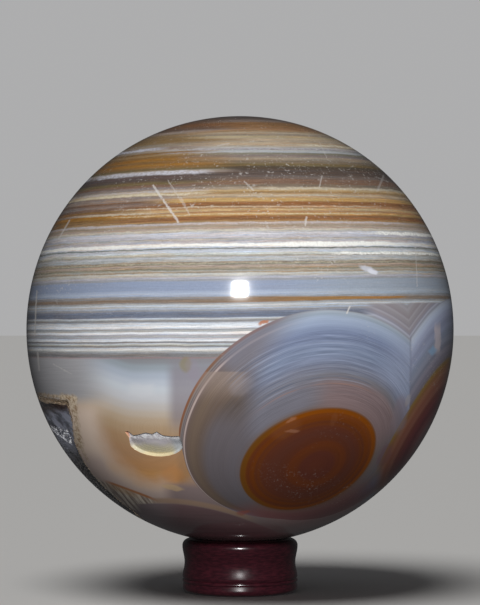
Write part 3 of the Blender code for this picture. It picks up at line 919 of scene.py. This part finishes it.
def agate_group(levels, polar, scratch, specks, patch):
    """The whole stone: layers above, the eye and its rings, the side eye, the milky hollow, the lining."""
    outputs = {"Colour": "colour", "Roughness": "value", "Height": "value", "Glow": "colour"}
    tree, w, given, result = new_group("banded_agate", {"Place": "vector", "Spot": "vector"}, outputs)
    place, spot = given["Place"], given["Spot"]
    way = w.vector("NORMALIZE", spot)
    x, y, z = w.parts(way)
    layered = w.place(levels, Place=place, Spot=spot)
    colour, height = layered["Colour"], layered["Height"]

    chalk = 0.0
    for chalk_colour, mask in chalk_part(w, place, x, height):
        chalk = w.math("MAXIMUM", chalk, mask)
        colour = w.blend(mask, colour, chalk_colour)

    # The lining of the back and the base
    warp = w.sway(w.cloud(place, 2.5, 2.0), 2.0)
    back = w.place(polar, Way=way, Axis=BACK_AXIS, Across=(1.0, 0.0, 0.0), Up=(0.0, 0.0, 1.0))
    spread = back["Spread"] + warp * 3.0
    lining = w.bands(spread, BACK_SHELLS)
    thin = w.sway(w.streaks(place, 1.0, spread, 0.9), 0.5)
    thin = thin + w.sway(w.streaks(place, 1.6, spread, 3.2), 0.45)
    thin = thin + w.sway(w.streaks(place, 3.0, spread, 7.0), 0.40)
    lining = w.shade(lining, 1.0 + thin)
    below = w.rise(height, -0.105, -0.118)
    shown = w.math("LESS_THAN", y, 0.0)
    front = w.rise(y, 0.10, -0.10)
    colour = w.blend(below, colour, lining)
    colour = w.blend(w.every(below, front), colour, hollow_part(w, place, way, height, warp, lining))

    eye, past_eye, in_eye = eye_part(w, polar, place, way, warp)
    side, side_rings, past_side, in_cap = side_part(w, polar, place, way, warp)
    gap = w.math("MINIMUM", past_eye, past_side)
    over_crease = w.every(
        w.rise(height, 0.112, 0.104), w.within(x, 0.56, 0.97, 0.05), w.math("LESS_THAN", y, 0.1)
    )
    chevrons = w.bands(gap, CHEVRONS)
    colour = w.blend(w.every(over_crease, w.rise(gap, 8.0, 6.5)), colour, chevrons)
    crease = x + w.sway(w.cloud(place, 30.0, 2.0), 0.008)
    past_crease = w.rise(crease, 0.757, 0.762)
    in_side = w.every(w.rise(side_rings, 2.0, 1.985), past_crease)
    in_side = w.math("MAXIMUM", in_side, w.every(in_cap, w.rise(x, 0.60, 0.66)))
    colour = w.blend(in_eye, colour, eye)
    colour = w.blend(in_side, colour, side)
    shade = w.every(w.line(crease, 0.759, 0.004), w.within(z, -0.30, -0.02, 0.03))
    colour = w.blend(shade * 0.35, colour, tone(120, 122, 140))

    wobble = w.sway(w.cloud(place, 24.0, 3.0), 0.024)
    uneven = w.together(x + wobble, 0.0, z - wobble)
    for at_x, at_z, half_x, half_z, turn, square, strength, patch_colour in PATCHES:
        mask = w.patch(patch, uneven, at_x, at_z, half_x, half_z, turn, square)
        colour = w.blend(w.every(mask, shown, strength), colour, patch_colour)

    # The druse's edge in the polished skin
    druse_grain = w.rise(w.cloud(place, 62.0, 4.0, 0.75), 0.36, 0.60)
    druse_colour = w.blend(druse_grain, tone(150, 118, 84), tone(226, 208, 182))
    torn = w.sway(w.cloud(place, 55.0, 3.0, 0.7), 0.030)
    uneven = w.together(x + torn, 0.0, z - torn)
    edge = 0.0
    for *along, half_width, strength in DRUSE_EDGES:
        mask = w.mark(scratch, uneven, along, Half_Width=half_width * 1.3)
        edge = w.math("MAXIMUM", edge, mask * strength)
    colour = w.blend(edge * shown, colour, druse_colour)

    # Blemishes on the polish
    marks = 0.0
    wobble = w.sway(w.cloud(place, 90.0, 2.0), 0.010)
    uneven = w.together(x + wobble, 0.0, z + wobble)
    gaps = w.every(w.rise(w.cloud(place, 28.0, 2.0), 0.20, 0.40), shown)
    for *along, half_width, strength in SCRATCHES:
        mask = w.mark(scratch, uneven, along, Half_Width=half_width)
        marks = w.math("MAXIMUM", marks, mask * strength)
    marks = marks * gaps
    worn = w.rise(w.cloud(place, 3.2, 3.0), 0.50, 0.70) * w.mix(w.rise(z, 0.10, -0.12), 0.9, 0.10)
    flat = w.together(x, 0.0, z)
    for at_x, at_z, half_x, half_z, turn, strength in WORN:
        mask = w.patch(patch, flat, at_x, at_z, half_x, half_z, turn, 2)
        worn = w.math("MAXIMUM", worn, w.every(mask, shown, strength))
    worn = worn * w.rise(w.cloud(place, 13.0, 3.0, 0.65), 0.38, 0.62)
    for size, share, strength in ((34.0, 0.28, 0.75), (66.0, 0.40, 0.75), (128.0, 0.42, 0.60)):
        mask = w.place(specks, Place=place, Size=size, Share=share)["Mask"]
        marks = w.math("MAXIMUM", marks, w.every(mask, worn, strength))
    crumbs = w.rise(w.cloud(w.stretch(place, 74.0, 74.0, 96.0), 1.0, 3.0, 0.7), 0.585, 0.66)
    marks = w.math("MAXIMUM", marks, w.every(crumbs, worn, 0.65))
    colour = w.blend(marks * 0.9, colour, tone(212, 208, 204))

    # Inside: the open pit's break, and the wall of the pocket under the quartz
    depth = 1.0 - w.vector("LENGTH", spot)
    deep = w.rise(depth, 0.0006, 0.0016)
    in_pit = w.every(deep, w.math("GREATER_THAN", w.vector("DOT_PRODUCT", way, tuple(PIT_OUT)), 0.98))
    in_pocket = deep - in_pit
    grain = w.cloud(place, 60.0, 4.0, 0.7)
    druse = w.blend(w.rise(grain, 0.36, 0.64), tone(150, 122, 92), tone(226, 206, 176))
    streaked = w.cloud(w.stretch(place, 3.0, 3.0, 46.0), 1.0, 3.0)
    inner = w.blend(w.rise(streaked, 0.38, 0.66), tone(92, 50, 22), tone(150, 98, 52))
    inner = w.blend(w.rise(x, -0.86, -0.95), inner, tone(112, 108, 108))
    mottled = w.rise(w.cloud(place, 14.0, 4.0, 0.65), 0.40, 0.60)
    mottled = w.blend(mottled, tone(84, 86, 96), tone(158, 162, 178))
    inner = w.blend(w.rise(z, -0.37, -0.43), inner, mottled)
    inner = w.blend(w.rise(z, -0.50, -0.64), inner, tone(62, 56, 54))
    wall = w.blend(w.rise(depth + w.sway(grain, 0.02), 0.018, 0.034), druse, inner)
    colour = w.blend(in_pit, colour, pit_part(w, place, spot))
    colour = w.blend(in_pocket, colour, wall)

    # Painted light: the lower pocket wall glows by emission, standing in for lamp light that comes in
    # through the quartz
    lit = w.every(in_pocket, w.rise(z, -0.37, -0.42), w.rise(z, -0.68, -0.46), w.rise(y, 0.25, 0.0))
    w.join(w.blend(lit, BLACK, mottled), result["Glow"])
    w.join(colour, result["Colour"])
    rough = 0.075 + w.math("MAXIMUM", marks, chalk) * 0.25
    w.join(w.mix(deep, rough, 0.5), result["Roughness"])
    w.join(w.mix(deep, marks * -1.0, grain), result["Height"])
    return tree


def new_material(name):
    made = bpy.data.materials.new(name)
    made.use_nodes = True
    shader = made.node_tree.nodes["Principled BSDF"]
    return made, Wiring(made.node_tree), shader


def stone_place(w):
    """Object coordinates in ball radii: moved for the noises, and from the ball's middle to measure by."""
    here = w.feed(w.add("ShaderNodeTexCoord"), {}, "Object")
    middle = w.add("ShaderNodeMapping", vector_type="POINT")
    middle = w.feed(middle, {"Location": -BALL_CENTRE, "Vector": here}, "Vector")
    spot = w.scale(middle, 1 / BALL_RADIUS)
    moved = w.add("ShaderNodeMapping", vector_type="POINT")
    return w.feed(moved, {"Location": NOISE_SHIFT, "Vector": spot}, "Vector"), spot


def polished_agate(agate):
    made, w, shader = new_material("polished_agate")
    place, spot = stone_place(w)
    stone = w.place(agate, Place=place, Spot=spot)
    # The emission is painted light: a glow on the pocket's wall under the quartz
    w.supply(shader, {
        "Base Color": stone["Colour"], "Roughness": stone["Roughness"], "Emission Color": stone["Glow"],
        "Emission Strength": POCKET_PAINTED_GLOW, "IOR": STONE_IOR, "Coat Weight": 0.30, "Coat Roughness": 0.16,
        "Coat IOR": 1.5,
    })
    bump = {"Distance": 0.02 * MM, "Strength": 0.5, "Height": stone["Height"]}
    w.join(w.feed(w.add("ShaderNodeBump"), bump, "Normal"), shader.inputs["Normal"])
    return made


def clear_quartz():
    made, w, shader = new_material("clear_quartz")
    place, spot = stone_place(w)
    haze = w.cloud(place, 9.0, 3.0)
    w.supply(shader, {
        "Base Color": (0.86, 0.86, 0.87, 1.0), "Metallic": 0.0, "Transmission Weight": 1.0,
        "IOR": QUARTZ_IOR, "Roughness": w.mix(w.rise(haze, 0.5, 0.75), 0.0, 0.12),
    })
    return made


def crystal_grains(name, dark, pale, bright):
    """White and tan broken crystal, shaded from grain to grain, its paler colour glowing a little by
    emission as painted light.
    """
    made, w, shader = new_material(name)
    place, spot = stone_place(w)
    lumps = w.cloud(place, 60.0, 3.0, 0.7)
    # Painted light: the paler colour glows by emission, standing in for lamp light that reaches the grains
    # through the quartz
    w.supply(shader, {
        "Base Color": w.blend(w.rise(lumps, 0.34, 0.62), dark, pale),
        "Roughness": w.mix(w.cloud(place, 90.0, 2.0), 0.25, 0.55), "IOR": STONE_IOR,
        "Emission Color": pale, "Emission Strength": bright,
    })
    return made


def wine_lacquer():
    made, w, shader = new_material("wine_lacquer")
    place, spot = stone_place(w)
    grain = w.cloud(w.stretch(place, 30.0, 30.0, 160.0), 1.0, 3.0)
    w.supply(shader, {
        "Base Color": w.blend(w.rise(grain, 0.35, 0.7), tone(40, 13, 20), tone(58, 20, 28)),
        "Roughness": w.mix(w.cloud(place, 40.0, 3.0), 0.16, 0.34),
        "Coat Weight": 0.6, "Coat Roughness": 0.12,
    })
    return made


def set_input(modifier, name, value):
    """Sets a named input of a Geometry Nodes modifier by its socket's identifier."""
    for item in modifier.node_group.interface.items_tree:
        if item.item_type == "SOCKET" and item.in_out == "INPUT" and item.name == name:
            modifier[item.identifier] = value
            return
    raise KeyError(name)


def dressed(w, geometry, finish, result):
    """Ends a tree: the geometry with its material."""
    worn = w.add("GeometryNodeSetMaterial")
    w.join(w.feed(worn, {"Geometry": geometry, "Material": finish}, "Geometry"), result["Geometry"])


def round_ball_tree():
    """A cube's grid swollen into a ball: even quads all over and no poles."""
    inputs = {"Radius": "value", "Centre": "vector", "Points": "number", "Finish": "finish"}
    tree, w, given, result = new_group("round_ball", inputs, MESH_OUT, "GeometryNodeTree")
    edges = dict.fromkeys(("Vertices X", "Vertices Y", "Vertices Z"), given["Points"])
    cube = w.feed(w.add("GeometryNodeMeshCube"), {"Size": (2.0, 2.0, 2.0), **edges}, "Mesh")
    position = w.feed(w.add("GeometryNodeInputPosition"), {}, 0)
    spread = w.vector("TANGENT", w.scale(position, math.pi / 4))
    out = w.scale(w.vector("NORMALIZE", spread), given["Radius"])
    moved = {"Geometry": cube, "Position": w.vector("ADD", out, given["Centre"])}
    swollen = w.feed(w.add("GeometryNodeSetPosition"), moved, "Geometry")
    real = w.feed(w.add("GeometryNodeRealizeInstances"), {"Geometry": swollen}, "Geometry")
    dressed(w, real, given["Finish"], result)
    return tree


def link(obj):
    bpy.context.scene.collection.objects.link(obj)
    return obj


def plain_copy(obj, name):
    """The evaluated object as a plain mesh in a new object at the origin. The old object goes."""
    bpy.context.view_layer.update()
    seen = obj.evaluated_get(bpy.context.evaluated_depsgraph_get())
    mesh = bpy.data.meshes.new_from_object(seen)
    mesh.name = name
    finish = next(material for material in mesh.materials if material)
    mesh.materials.clear()
    mesh.materials.append(finish)
    mesh.polygons.foreach_set("material_index", [0] * len(mesh.polygons))
    bpy.data.objects.remove(obj)
    return link(bpy.data.objects.new(name, mesh))


def grown(holder, tree, name, settings):
    """What a Geometry Nodes tree makes of an object, as a plain mesh. The old object goes."""
    modifier = holder.modifiers.new(tree.name, "NODES")
    modifier.node_group = tree
    for label, value in settings.items():
        set_input(modifier, label, value)
    made = plain_copy(holder, name)
    made.data.shade_smooth()
    return made


def round_ball(name, radius, finish):
    holder = link(bpy.data.objects.new(name + "_holder", bpy.data.meshes.new(name + "_holder")))
    settings = {"Radius": radius, "Centre": BALL_CENTRE, "Points": BALL_STEPS, "Finish": finish}
    return grown(holder, round_ball_tree(), name, settings)


def smooth(value, start, end):
    """0 at start, 1 at end, smooth between and level beyond."""
    share = min(max((value - start) / (end - start), 0.0), 1.0)
    return share * share * (3 - 2 * share)


def evenly(points, count):
    """count points at even distances along a closed loop."""
    corners = points + points[:1]
    lengths = [(b - a).length for a, b in zip(corners, corners[1:])]
    total = sum(lengths)
    placed = []
    part = 0
    passed = 0.0
    for i in range(count):
        at = total * i / count
        while passed + lengths[part] < at:
            passed += lengths[part]
            part += 1
        placed.append(corners[part].lerp(corners[part + 1], (at - passed) / lengths[part]))
    return placed


def meshed(form, name):
    """An object at the origin from a bmesh, which goes."""
    mesh = bpy.data.meshes.new(name)
    form.to_mesh(mesh)
    form.free()
    return link(bpy.data.objects.new(name, mesh))


def lofted(rings, name):
    """A closed form through rings of points of one count, with a fan over each end."""
    form = bmesh.new()
    loops = [[form.verts.new(point) for point in ring] for ring in rings]
    for above, below in zip(loops, loops[1:]):
        for i in range(len(above)):
            j = (i + 1) % len(above)
            form.faces.new((above[i], above[j], below[j], below[i]))
    for loop in (loops[0], loops[-1]):
        middle = form.verts.new(sum((corner.co for corner in loop), Vector()) / len(loop))
        for i in range(len(loop)):
            form.faces.new((loop[i], loop[(i + 1) % len(loop)], middle))
    bmesh.ops.triangulate(form, faces=form.faces[:])
    bmesh.ops.recalc_face_normals(form, faces=form.faces[:])
    return meshed(form, name)


def pit_frame():
    """The pit's own frame on the surface: X across, Y up along the surface, Z straight out."""
    across, up, out = PIT_ACROSS, PIT_UP, PIT_OUT
    frame_here = Matrix((across, up, out)).transposed().to_4x4()
    frame_here.translation = BALL_CENTRE + out * BALL_RADIUS
    return frame_here


def pit_depth(share, rise, grain):
    """Depth in shares of the deepest: a crushed slope under the lip, a smooth floor, a steep lower wall."""
    if share > 1:
        return (1 - share) * 1.6
    lower = (0.22 + 0.12 * share) * smooth(share, 1.0, 0.93)
    slope = 0.12 * smooth(share, 1.0, 0.96) + 0.10 * smooth(share, 1.2, 0.0)
    crushed = grain * 0.035 * smooth(share, 1.0, 0.97) * smooth(share, 0.55, 0.80)
    above = smooth(rise, -0.25, 0.35)
    return lower * (1 - above) + (slope + crushed) * above


def pit_cutter():
    """A shallow broken bowl: a point of its skin for each share of the way out and place on the rim."""
    rim = [Vector((x, y, 0.0)) for x, y in PIT_LIP]
    for i in range(PIT_LOWER_STEPS):
        turn = math.radians(-20 - 140 * i / (PIT_LOWER_STEPS - 1))
        rim.append(Vector((PIT_HALF_WIDTH * math.cos(turn), PIT_LOWER_HEIGHT * math.sin(turn), 0.0)))
    rim = evenly(rim, PIT_AROUND)
    place = pit_frame()
    rings = []
    for ring in range(PIT_RINGS):
        share = 0.02 + 1.06 * ring / (PIT_RINGS - 1)
        points = []
        for corner in rim:
            x, y = corner.x * share, corner.y * share
            rise = y / PIT_LOWER_HEIGHT
            grain = noise.fractal(Vector((x * 2.4, y * 3.2, 4.0)), 0.7, 2.1, 4)
            ripple = 0.006 * math.sin(share * 46 + 1.5 * noise.noise(Vector((x, y, 0.5))))
            ripple = ripple * smooth(share, 0.2, 0.6) * smooth(share, 1.0, 0.9)
            depth = pit_depth(share, rise, grain) + ripple
            surface = math.sqrt(BALL_RADIUS**2 - (x * x + y * y) * MM * MM) - BALL_RADIUS
            points.append(place @ Vector((x * MM, y * MM, surface - depth * PIT_DEPTH)))
        rings.append(points)
    mouth = [Vector((corner.x * 1.08 * MM, corner.y * 1.08 * MM, PIT_MOUTH)) for corner in rim]
    rings.append([place @ point for point in mouth])
    return lofted(rings, "pit_cutter")


def pocket_ring(depth, closing, extra):
    """Points round the pocket's rough wall at one depth, larger all round by extra ball radii."""
    rim = evenly([Vector(point).normalized() for point in QUARTZ_RIM], QUARTZ_AROUND)
    middle = sum(rim, Vector()).normalized()
    share = closing - extra * 1.5
    points = []
    for corner in rim:
        way = (corner.normalized() * (1 - share) + middle * share).normalized()
        rough = noise.fractal(way * 26 + Vector((depth * 30, 0.0, 0.0)), 0.8, 2.0, 4)
        fine = noise.noise(way * 95 + Vector((depth * 60, 0.0, 0.0)))
        push = 0.006 * rough + 0.003 * fine
        if depth > 0:
            push *= 1.0 + 2.0 * smooth(depth, 0.0, 0.1)
        here = way + (middle - way).normalized() * push
        deep = depth + extra if depth > 0.02 else depth
        points.append(BALL_CENTRE + here.normalized() * BALL_RADIUS * (1 - deep))
    return points


def pocket_form(name, extra):
    """The pocket under the quartz corner."""
    return lofted([pocket_ring(depth, closing, extra) for depth, closing in POCKET_LEVELS], name)


def crumbs_tree():
    """Rough grains of mixed sizes scattered over the faces that are given."""
    inputs = {
        "Geometry": "geometry", "Density": "value", "Seed": "number", "Smallest": "vector",
        "Largest": "vector", "Roughness": "value", "Facets": "number", "Finish": "finish",
    }
    tree, w, given, result = new_group("druse_crumbs", inputs, MESH_OUT, "GeometryNodeTree")
    spread = w.add("GeometryNodeDistributePointsOnFaces", distribute_method="RANDOM")
    over = {"Mesh": given["Geometry"], "Density": given["Density"], "Seed": given["Seed"]}
    points = w.feed(spread, over, "Points")
    grain = w.add("GeometryNodeMeshIcoSphere")
    grain = w.feed(grain, {"Radius": 1.0, "Subdivisions": given["Facets"]}, "Mesh")
    sizes = w.add("FunctionNodeRandomValue", data_type="FLOAT_VECTOR")
    span = {"Min": given["Smallest"], "Max": given["Largest"], "Seed": given["Seed"]}
    sizes = w.feed(sizes, span, "Value")
    turns = w.add("FunctionNodeRandomValue", data_type="FLOAT_VECTOR")
    span = {"Min": (-0.5, -0.5, 0.0), "Max": (0.5, 0.5, math.tau), "Seed": given["Seed"] + 7.0}
    turns = w.feed(turns, span, "Value")
    placed = w.add("GeometryNodeInstanceOnPoints")
    stood = {"Points": points, "Instance": grain, "Rotation": turns, "Scale": sizes}
    placed = w.feed(placed, stood, "Instances")
    real = w.feed(w.add("GeometryNodeRealizeInstances"), {"Geometry": placed}, "Geometry")
    position = w.feed(w.add("GeometryNodeInputPosition"), {}, 0)
    lumps = w.add("ShaderNodeTexNoise", noise_dimensions="3D")
    lumps = w.feed(lumps, {"Vector": w.scale(position, 1 / MM), "Scale": 3.0}, "Color")
    centred = w.vector("SUBTRACT", lumps, (0.5, 0.5, 0.5))
    rough = w.add("GeometryNodeSetPosition")
    push = {"Geometry": real, "Offset": w.scale(centred, given["Roughness"])}
    dressed(w, w.feed(rough, push, "Geometry"), given["Finish"], result)
    return tree


def scattered(strip, tree, name, **settings):
    """Grains scattered over a strip of faces, as a plain mesh. The strip goes."""
    made = grown(strip, tree, name, settings)
    made.data.set_sharp_from_angle(angle=math.radians(35))
    return made


def strip_of(rows, name):
    """Faces between rows of points."""
    form = bmesh.new()
    loops = [[form.verts.new(point) for point in row] for row in rows]
    for above, below in zip(loops, loops[1:]):
        for i in range(len(above) - 1):
            form.faces.new((above[i], above[i + 1], below[i + 1], below[i]))
    return meshed(form, name)


def druse_crumbs(tree, finish):
    """Small crystals that line the pocket's wall, close under the polish."""
    rows = []
    for depth, closing in ((0.014, 0.036), (0.026, 0.056), (0.045, 0.070)):
        ring = pocket_ring(depth, closing + 0.012, 0.0)
        rows.append(ring[-34:] + ring[:70])
    strip = strip_of(rows, "druse_strip")
    return scattered(
        strip, tree, "agate_druse_crumbs", Density=14.0e6, Seed=3, Facets=1, Roughness=0.20 * MM,
        Smallest=(0.08 * MM, 0.08 * MM, 0.08 * MM), Largest=(0.30 * MM, 0.30 * MM, 0.26 * MM),
        Finish=finish,
    )


def quartz_flakes(tree, finish, name, density, seed, facets, largest):
    """White flakes of a level fracture inside the clear quartz, up to a largest size in millimetres."""
    rows = []
    for depth, drop in ((0.020, -0.014), (0.030, 0.004), (0.042, 0.020), (0.060, 0.040)):
        row = []
        for i in range(11):
            x = -0.880 + 0.0100 * i
            z = -0.450 - 0.0022 * i - drop * (0.5 + 0.1 * i)
            y = -math.sqrt(max(1.0 - x * x - z * z, 0.0))
            row.append(BALL_CENTRE + Vector((x, y, z)) * BALL_RADIUS * (1 - depth))
        rows.append(row)
    strip = strip_of(rows, "flake_strip")
    return scattered(
        strip, tree, name, Density=density, Seed=seed, Facets=facets, Roughness=0.6 * largest * MM,
        Smallest=(0.03 * MM, 0.02 * MM, 0.02 * MM),
        Largest=(largest * MM, 0.55 * largest * MM, 0.25 * largest * MM), Finish=finish,
    )


def cut(obj, tool, operation, name):
    """obj cut by tool, or what both share, as a plain mesh in a new object. The tool goes."""
    step = obj.modifiers.new("cut", "BOOLEAN")
    step.operation = operation
    step.solver = "EXACT"
    step.object = tool
    made = plain_copy(obj, name)
    bpy.data.objects.remove(tool)
    return made


def polish(obj, radius):
    """The skin mirrors as a true ball, and broken places keep the shading of their own shape."""
    mesh = obj.data
    mesh.shade_smooth()
    spare = 0.002 * MM
    on_skin = [abs((vertex.co - BALL_CENTRE).length - radius) < spare for vertex in mesh.vertices]
    broken = [Vector() for vertex in mesh.vertices]
    for face in mesh.polygons:
        if not all(on_skin[i] for i in face.vertices):
            for i in face.vertices:
                broken[i] += face.normal * face.area
    normals = []
    for face in mesh.polygons:
        skin = all(on_skin[i] for i in face.vertices)
        for i in face.vertices:
            way = mesh.vertices[i].co - BALL_CENTRE if skin else broken[i]
            normals.append(way.normalized())
    mesh.normals_split_custom_set(normals)


def stone_ball(finish):
    """The ball with its open pit and the pocket under the quartz corner."""
    ball = round_ball("agate_ball_whole", BALL_RADIUS, finish)
    ball = cut(ball, pit_cutter(), "DIFFERENCE", "agate_ball_pitted")
    ball = cut(ball, pocket_form("pocket", 0.0), "DIFFERENCE", "agate_ball_stone")
    polish(ball, BALL_RADIUS)
    return ball


def quartz_corner(finish):
    """The clear quartz that fills the pocket, its skin just under the polish of the ball."""
    radius = BALL_RADIUS - 0.005 * MM
    whole = round_ball("quartz_whole", radius, finish)
    made = cut(whole, pocket_form("pocket_fill", 0.003), "INTERSECT", "agate_quartz_corner")
    polish(made, radius)
    return made


def arc(centre_x, centre_z, radius, start, end, steps):
    """Points of an arc in the profile's plane, from start to end in degrees."""
    points = []
    for i in range(steps + 1):
        turn = math.radians(start + (end - start) * i / steps)
        points.append((centre_x + radius * math.cos(turn), centre_z + radius * math.sin(turn)))
    return points


def turned_ring(finish):
    """The stand: a lacquered ring with a dished seat, a rounded lip, a waist and a bead over the foot."""
    gap = 0.03 * MM
    lip, foot, edge = 1.0 * MM, 0.7 * MM, 0.5 * MM
    bore, seat_edge = 3.5 * MM, 7.7 * MM
    points = arc(RING_RADIUS - lip, RING_HEIGHT - lip, lip, 90, 0, 14)
    waist = 0.35 * MM
    for i in range(1, 16):
        share = i / 16
        z = RING_HEIGHT - lip + (2.0 * MM - RING_HEIGHT + lip) * share
        points.append((RING_RADIUS - waist * math.sin(math.pi * share) ** 2, z))
    points += arc(RING_RADIUS - 0.30 * MM, 1.72 * MM, 0.30 * MM, 70, -60, 8)
    points += arc(RING_RADIUS - foot, foot, foot, 20, -90, 10)
    points += arc(bore + edge, edge, edge, -90, -180, 8)
    for i in range(25):
        radius = bore + (seat_edge - bore) * i / 24
        points.append((radius, BALL_CENTRE.z - math.sqrt((BALL_RADIUS + gap) ** 2 - radius**2)))
    steps = 128
    form = bmesh.new()
    loops = []
    for i in range(steps):
        turn = math.tau * i / steps
        loops.append([form.verts.new((x * math.cos(turn), x * math.sin(turn), z)) for x, z in points])
    for i in range(steps):
        here, there = loops[i], loops[(i + 1) % steps]
        for j in range(len(points)):
            k = (j + 1) % len(points)
            form.faces.new((here[j], there[j], there[k], here[k]))
    bmesh.ops.recalc_face_normals(form, faces=form.faces[:])
    ring = meshed(form, "ring_stand_turned")
    ring.data.materials.append(finish)
    ring.data.shade_smooth()
    ring.data.set_sharp_from_angle(angle=math.radians(40))
    return ring


def make_camera():
    """Level with the ball's upper half, twelve radii in front, as the photograph was taken."""
    height = BALL_CENTRE.z + CAMERA_RISE
    data = bpy.data.cameras.new("camera")
    data.sensor_width = 36.0
    data.lens = CAMERA_LENS
    data.clip_start = 0.01
    camera = link(bpy.data.objects.new("camera", data))
    camera.location = (0.0, -CAMERA_DISTANCE, height)
    camera.rotation_euler = (math.radians(90), 0.0, 0.0)
    bpy.context.scene.camera = camera


def area_light(name, place, size, power, glossy, lit):
    """A square lamp that lights only the pieces in the collection lit."""
    data = bpy.data.lights.new(name, "AREA")
    data.shape = "SQUARE"
    data.size = size
    data.energy = power
    lamp = link(bpy.data.objects.new(name, data))
    lamp.location = place
    aim = BALL_CENTRE - Vector(place)
    lamp.rotation_euler = aim.to_track_quat("-Z", "Y").to_euler()
    lamp.visible_glossy = glossy
    lamp.light_linking.receiver_collection = lit


def make_lights(pieces):
    """A soft key above the camera with its small bright reflection, and a soft light behind."""
    lit = bpy.data.collections.new("lit_by_lamps")
    for piece in pieces:
        lit.objects.link(piece)
    far, high = CAMERA_DISTANCE, BALL_CENTRE.z + SOFT_RISE
    area_light("soft_front", (0.0, -far, high), SOFT_SIZE, 0.95, False, lit)
    area_light("soft_back", (0.0, far, high), SOFT_SIZE, 0.9, False, lit)
    spark = (0.0, -0.98 * far, BALL_CENTRE.z + SPARK_RISE)
    area_light("spark", spark, SPARK_SIZE, 0.92, True, lit)
    world = bpy.data.worlds.new("studio")
    bpy.context.scene.world = world
    world.use_nodes = True
    w = Wiring(world.node_tree)
    path = w.add("ShaderNodeLightPath")
    back = world.node_tree.nodes["Background"]
    fill = w.blend(path.outputs["Is Glossy Ray"], (0.07, 0.07, 0.072, 1.0), (0.03, 0.03, 0.031, 1.0))
    w.join(w.blend(path.outputs["Is Camera Ray"], fill, (0.42, 0.42, 0.424, 1.0)), back.inputs["Color"])


def make_floor():
    """A plain pale floor with a soft light of its own, which doesn't light the ball from below."""
    mesh = bpy.data.meshes.new("floor")
    grid = bmesh.new()
    bmesh.ops.create_grid(grid, x_segments=8, y_segments=8, size=3.0)
    grid.to_mesh(mesh)
    grid.free()
    floor = link(bpy.data.objects.new("floor", mesh))
    made, w, shader = new_material("pale_floor")
    shader.inputs["Base Color"].default_value = (0.72, 0.71, 0.69, 1.0)
    shader.inputs["Roughness"].default_value = 0.7
    mesh.materials.append(made)
    floor.visible_glossy = False
    floor.visible_diffuse = False
    lit = bpy.data.collections.new("lit_by_floor_light")
    lit.objects.link(floor)
    data = bpy.data.lights.new("floor_light", "SUN")
    data.energy = 1.75
    data.angle = math.radians(35)
    lamp = link(bpy.data.objects.new("floor_light", data))
    lamp.rotation_euler = (math.radians(18), math.radians(-12), 0.0)
    lamp.visible_glossy = False
    lamp.light_linking.receiver_collection = lit


make_camera()
make_floor()
agate = agate_group(level_group(), polar_group(), scratch_group(), speck_group(), patch_group())
stone = stone_ball(polished_agate(agate))
quartz = quartz_corner(clear_quartz())
grains = crumbs_tree()
# The druse crumbs and the white flakes glow a little by emission: painted light
crumbs = druse_crumbs(grains, crystal_grains("tan_druse", tone(146, 116, 84), tone(230, 210, 182), 0.06))
white = crystal_grains("white_flakes", tone(176, 180, 190), tone(246, 247, 250), 0.34)
flakes = quartz_flakes(grains, white, "agate_quartz_flakes", 1.8e6, 11, 3, 0.62)
dust = quartz_flakes(grains, white, "agate_quartz_dust", 9.0e6, 5, 1, 0.16)
ring = turned_ring(wine_lacquer())
for piece, node, finish in (
    (stone, "agate_ball", "polished_agate"),
    (quartz, "agate_ball", "polished_agate"),
    (crumbs, "agate_ball", "polished_agate"),
    (flakes, "agate_ball", "polished_agate"),
    (dust, "agate_ball", "polished_agate"),
    (ring, "ring_stand", "dark_wine_ring"),
):
    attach(piece, "root")
    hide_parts(node)

make_lights((stone, quartz, crumbs, flakes, dust, ring))
bpy.context.scene.view_settings.view_transform = "Standard"
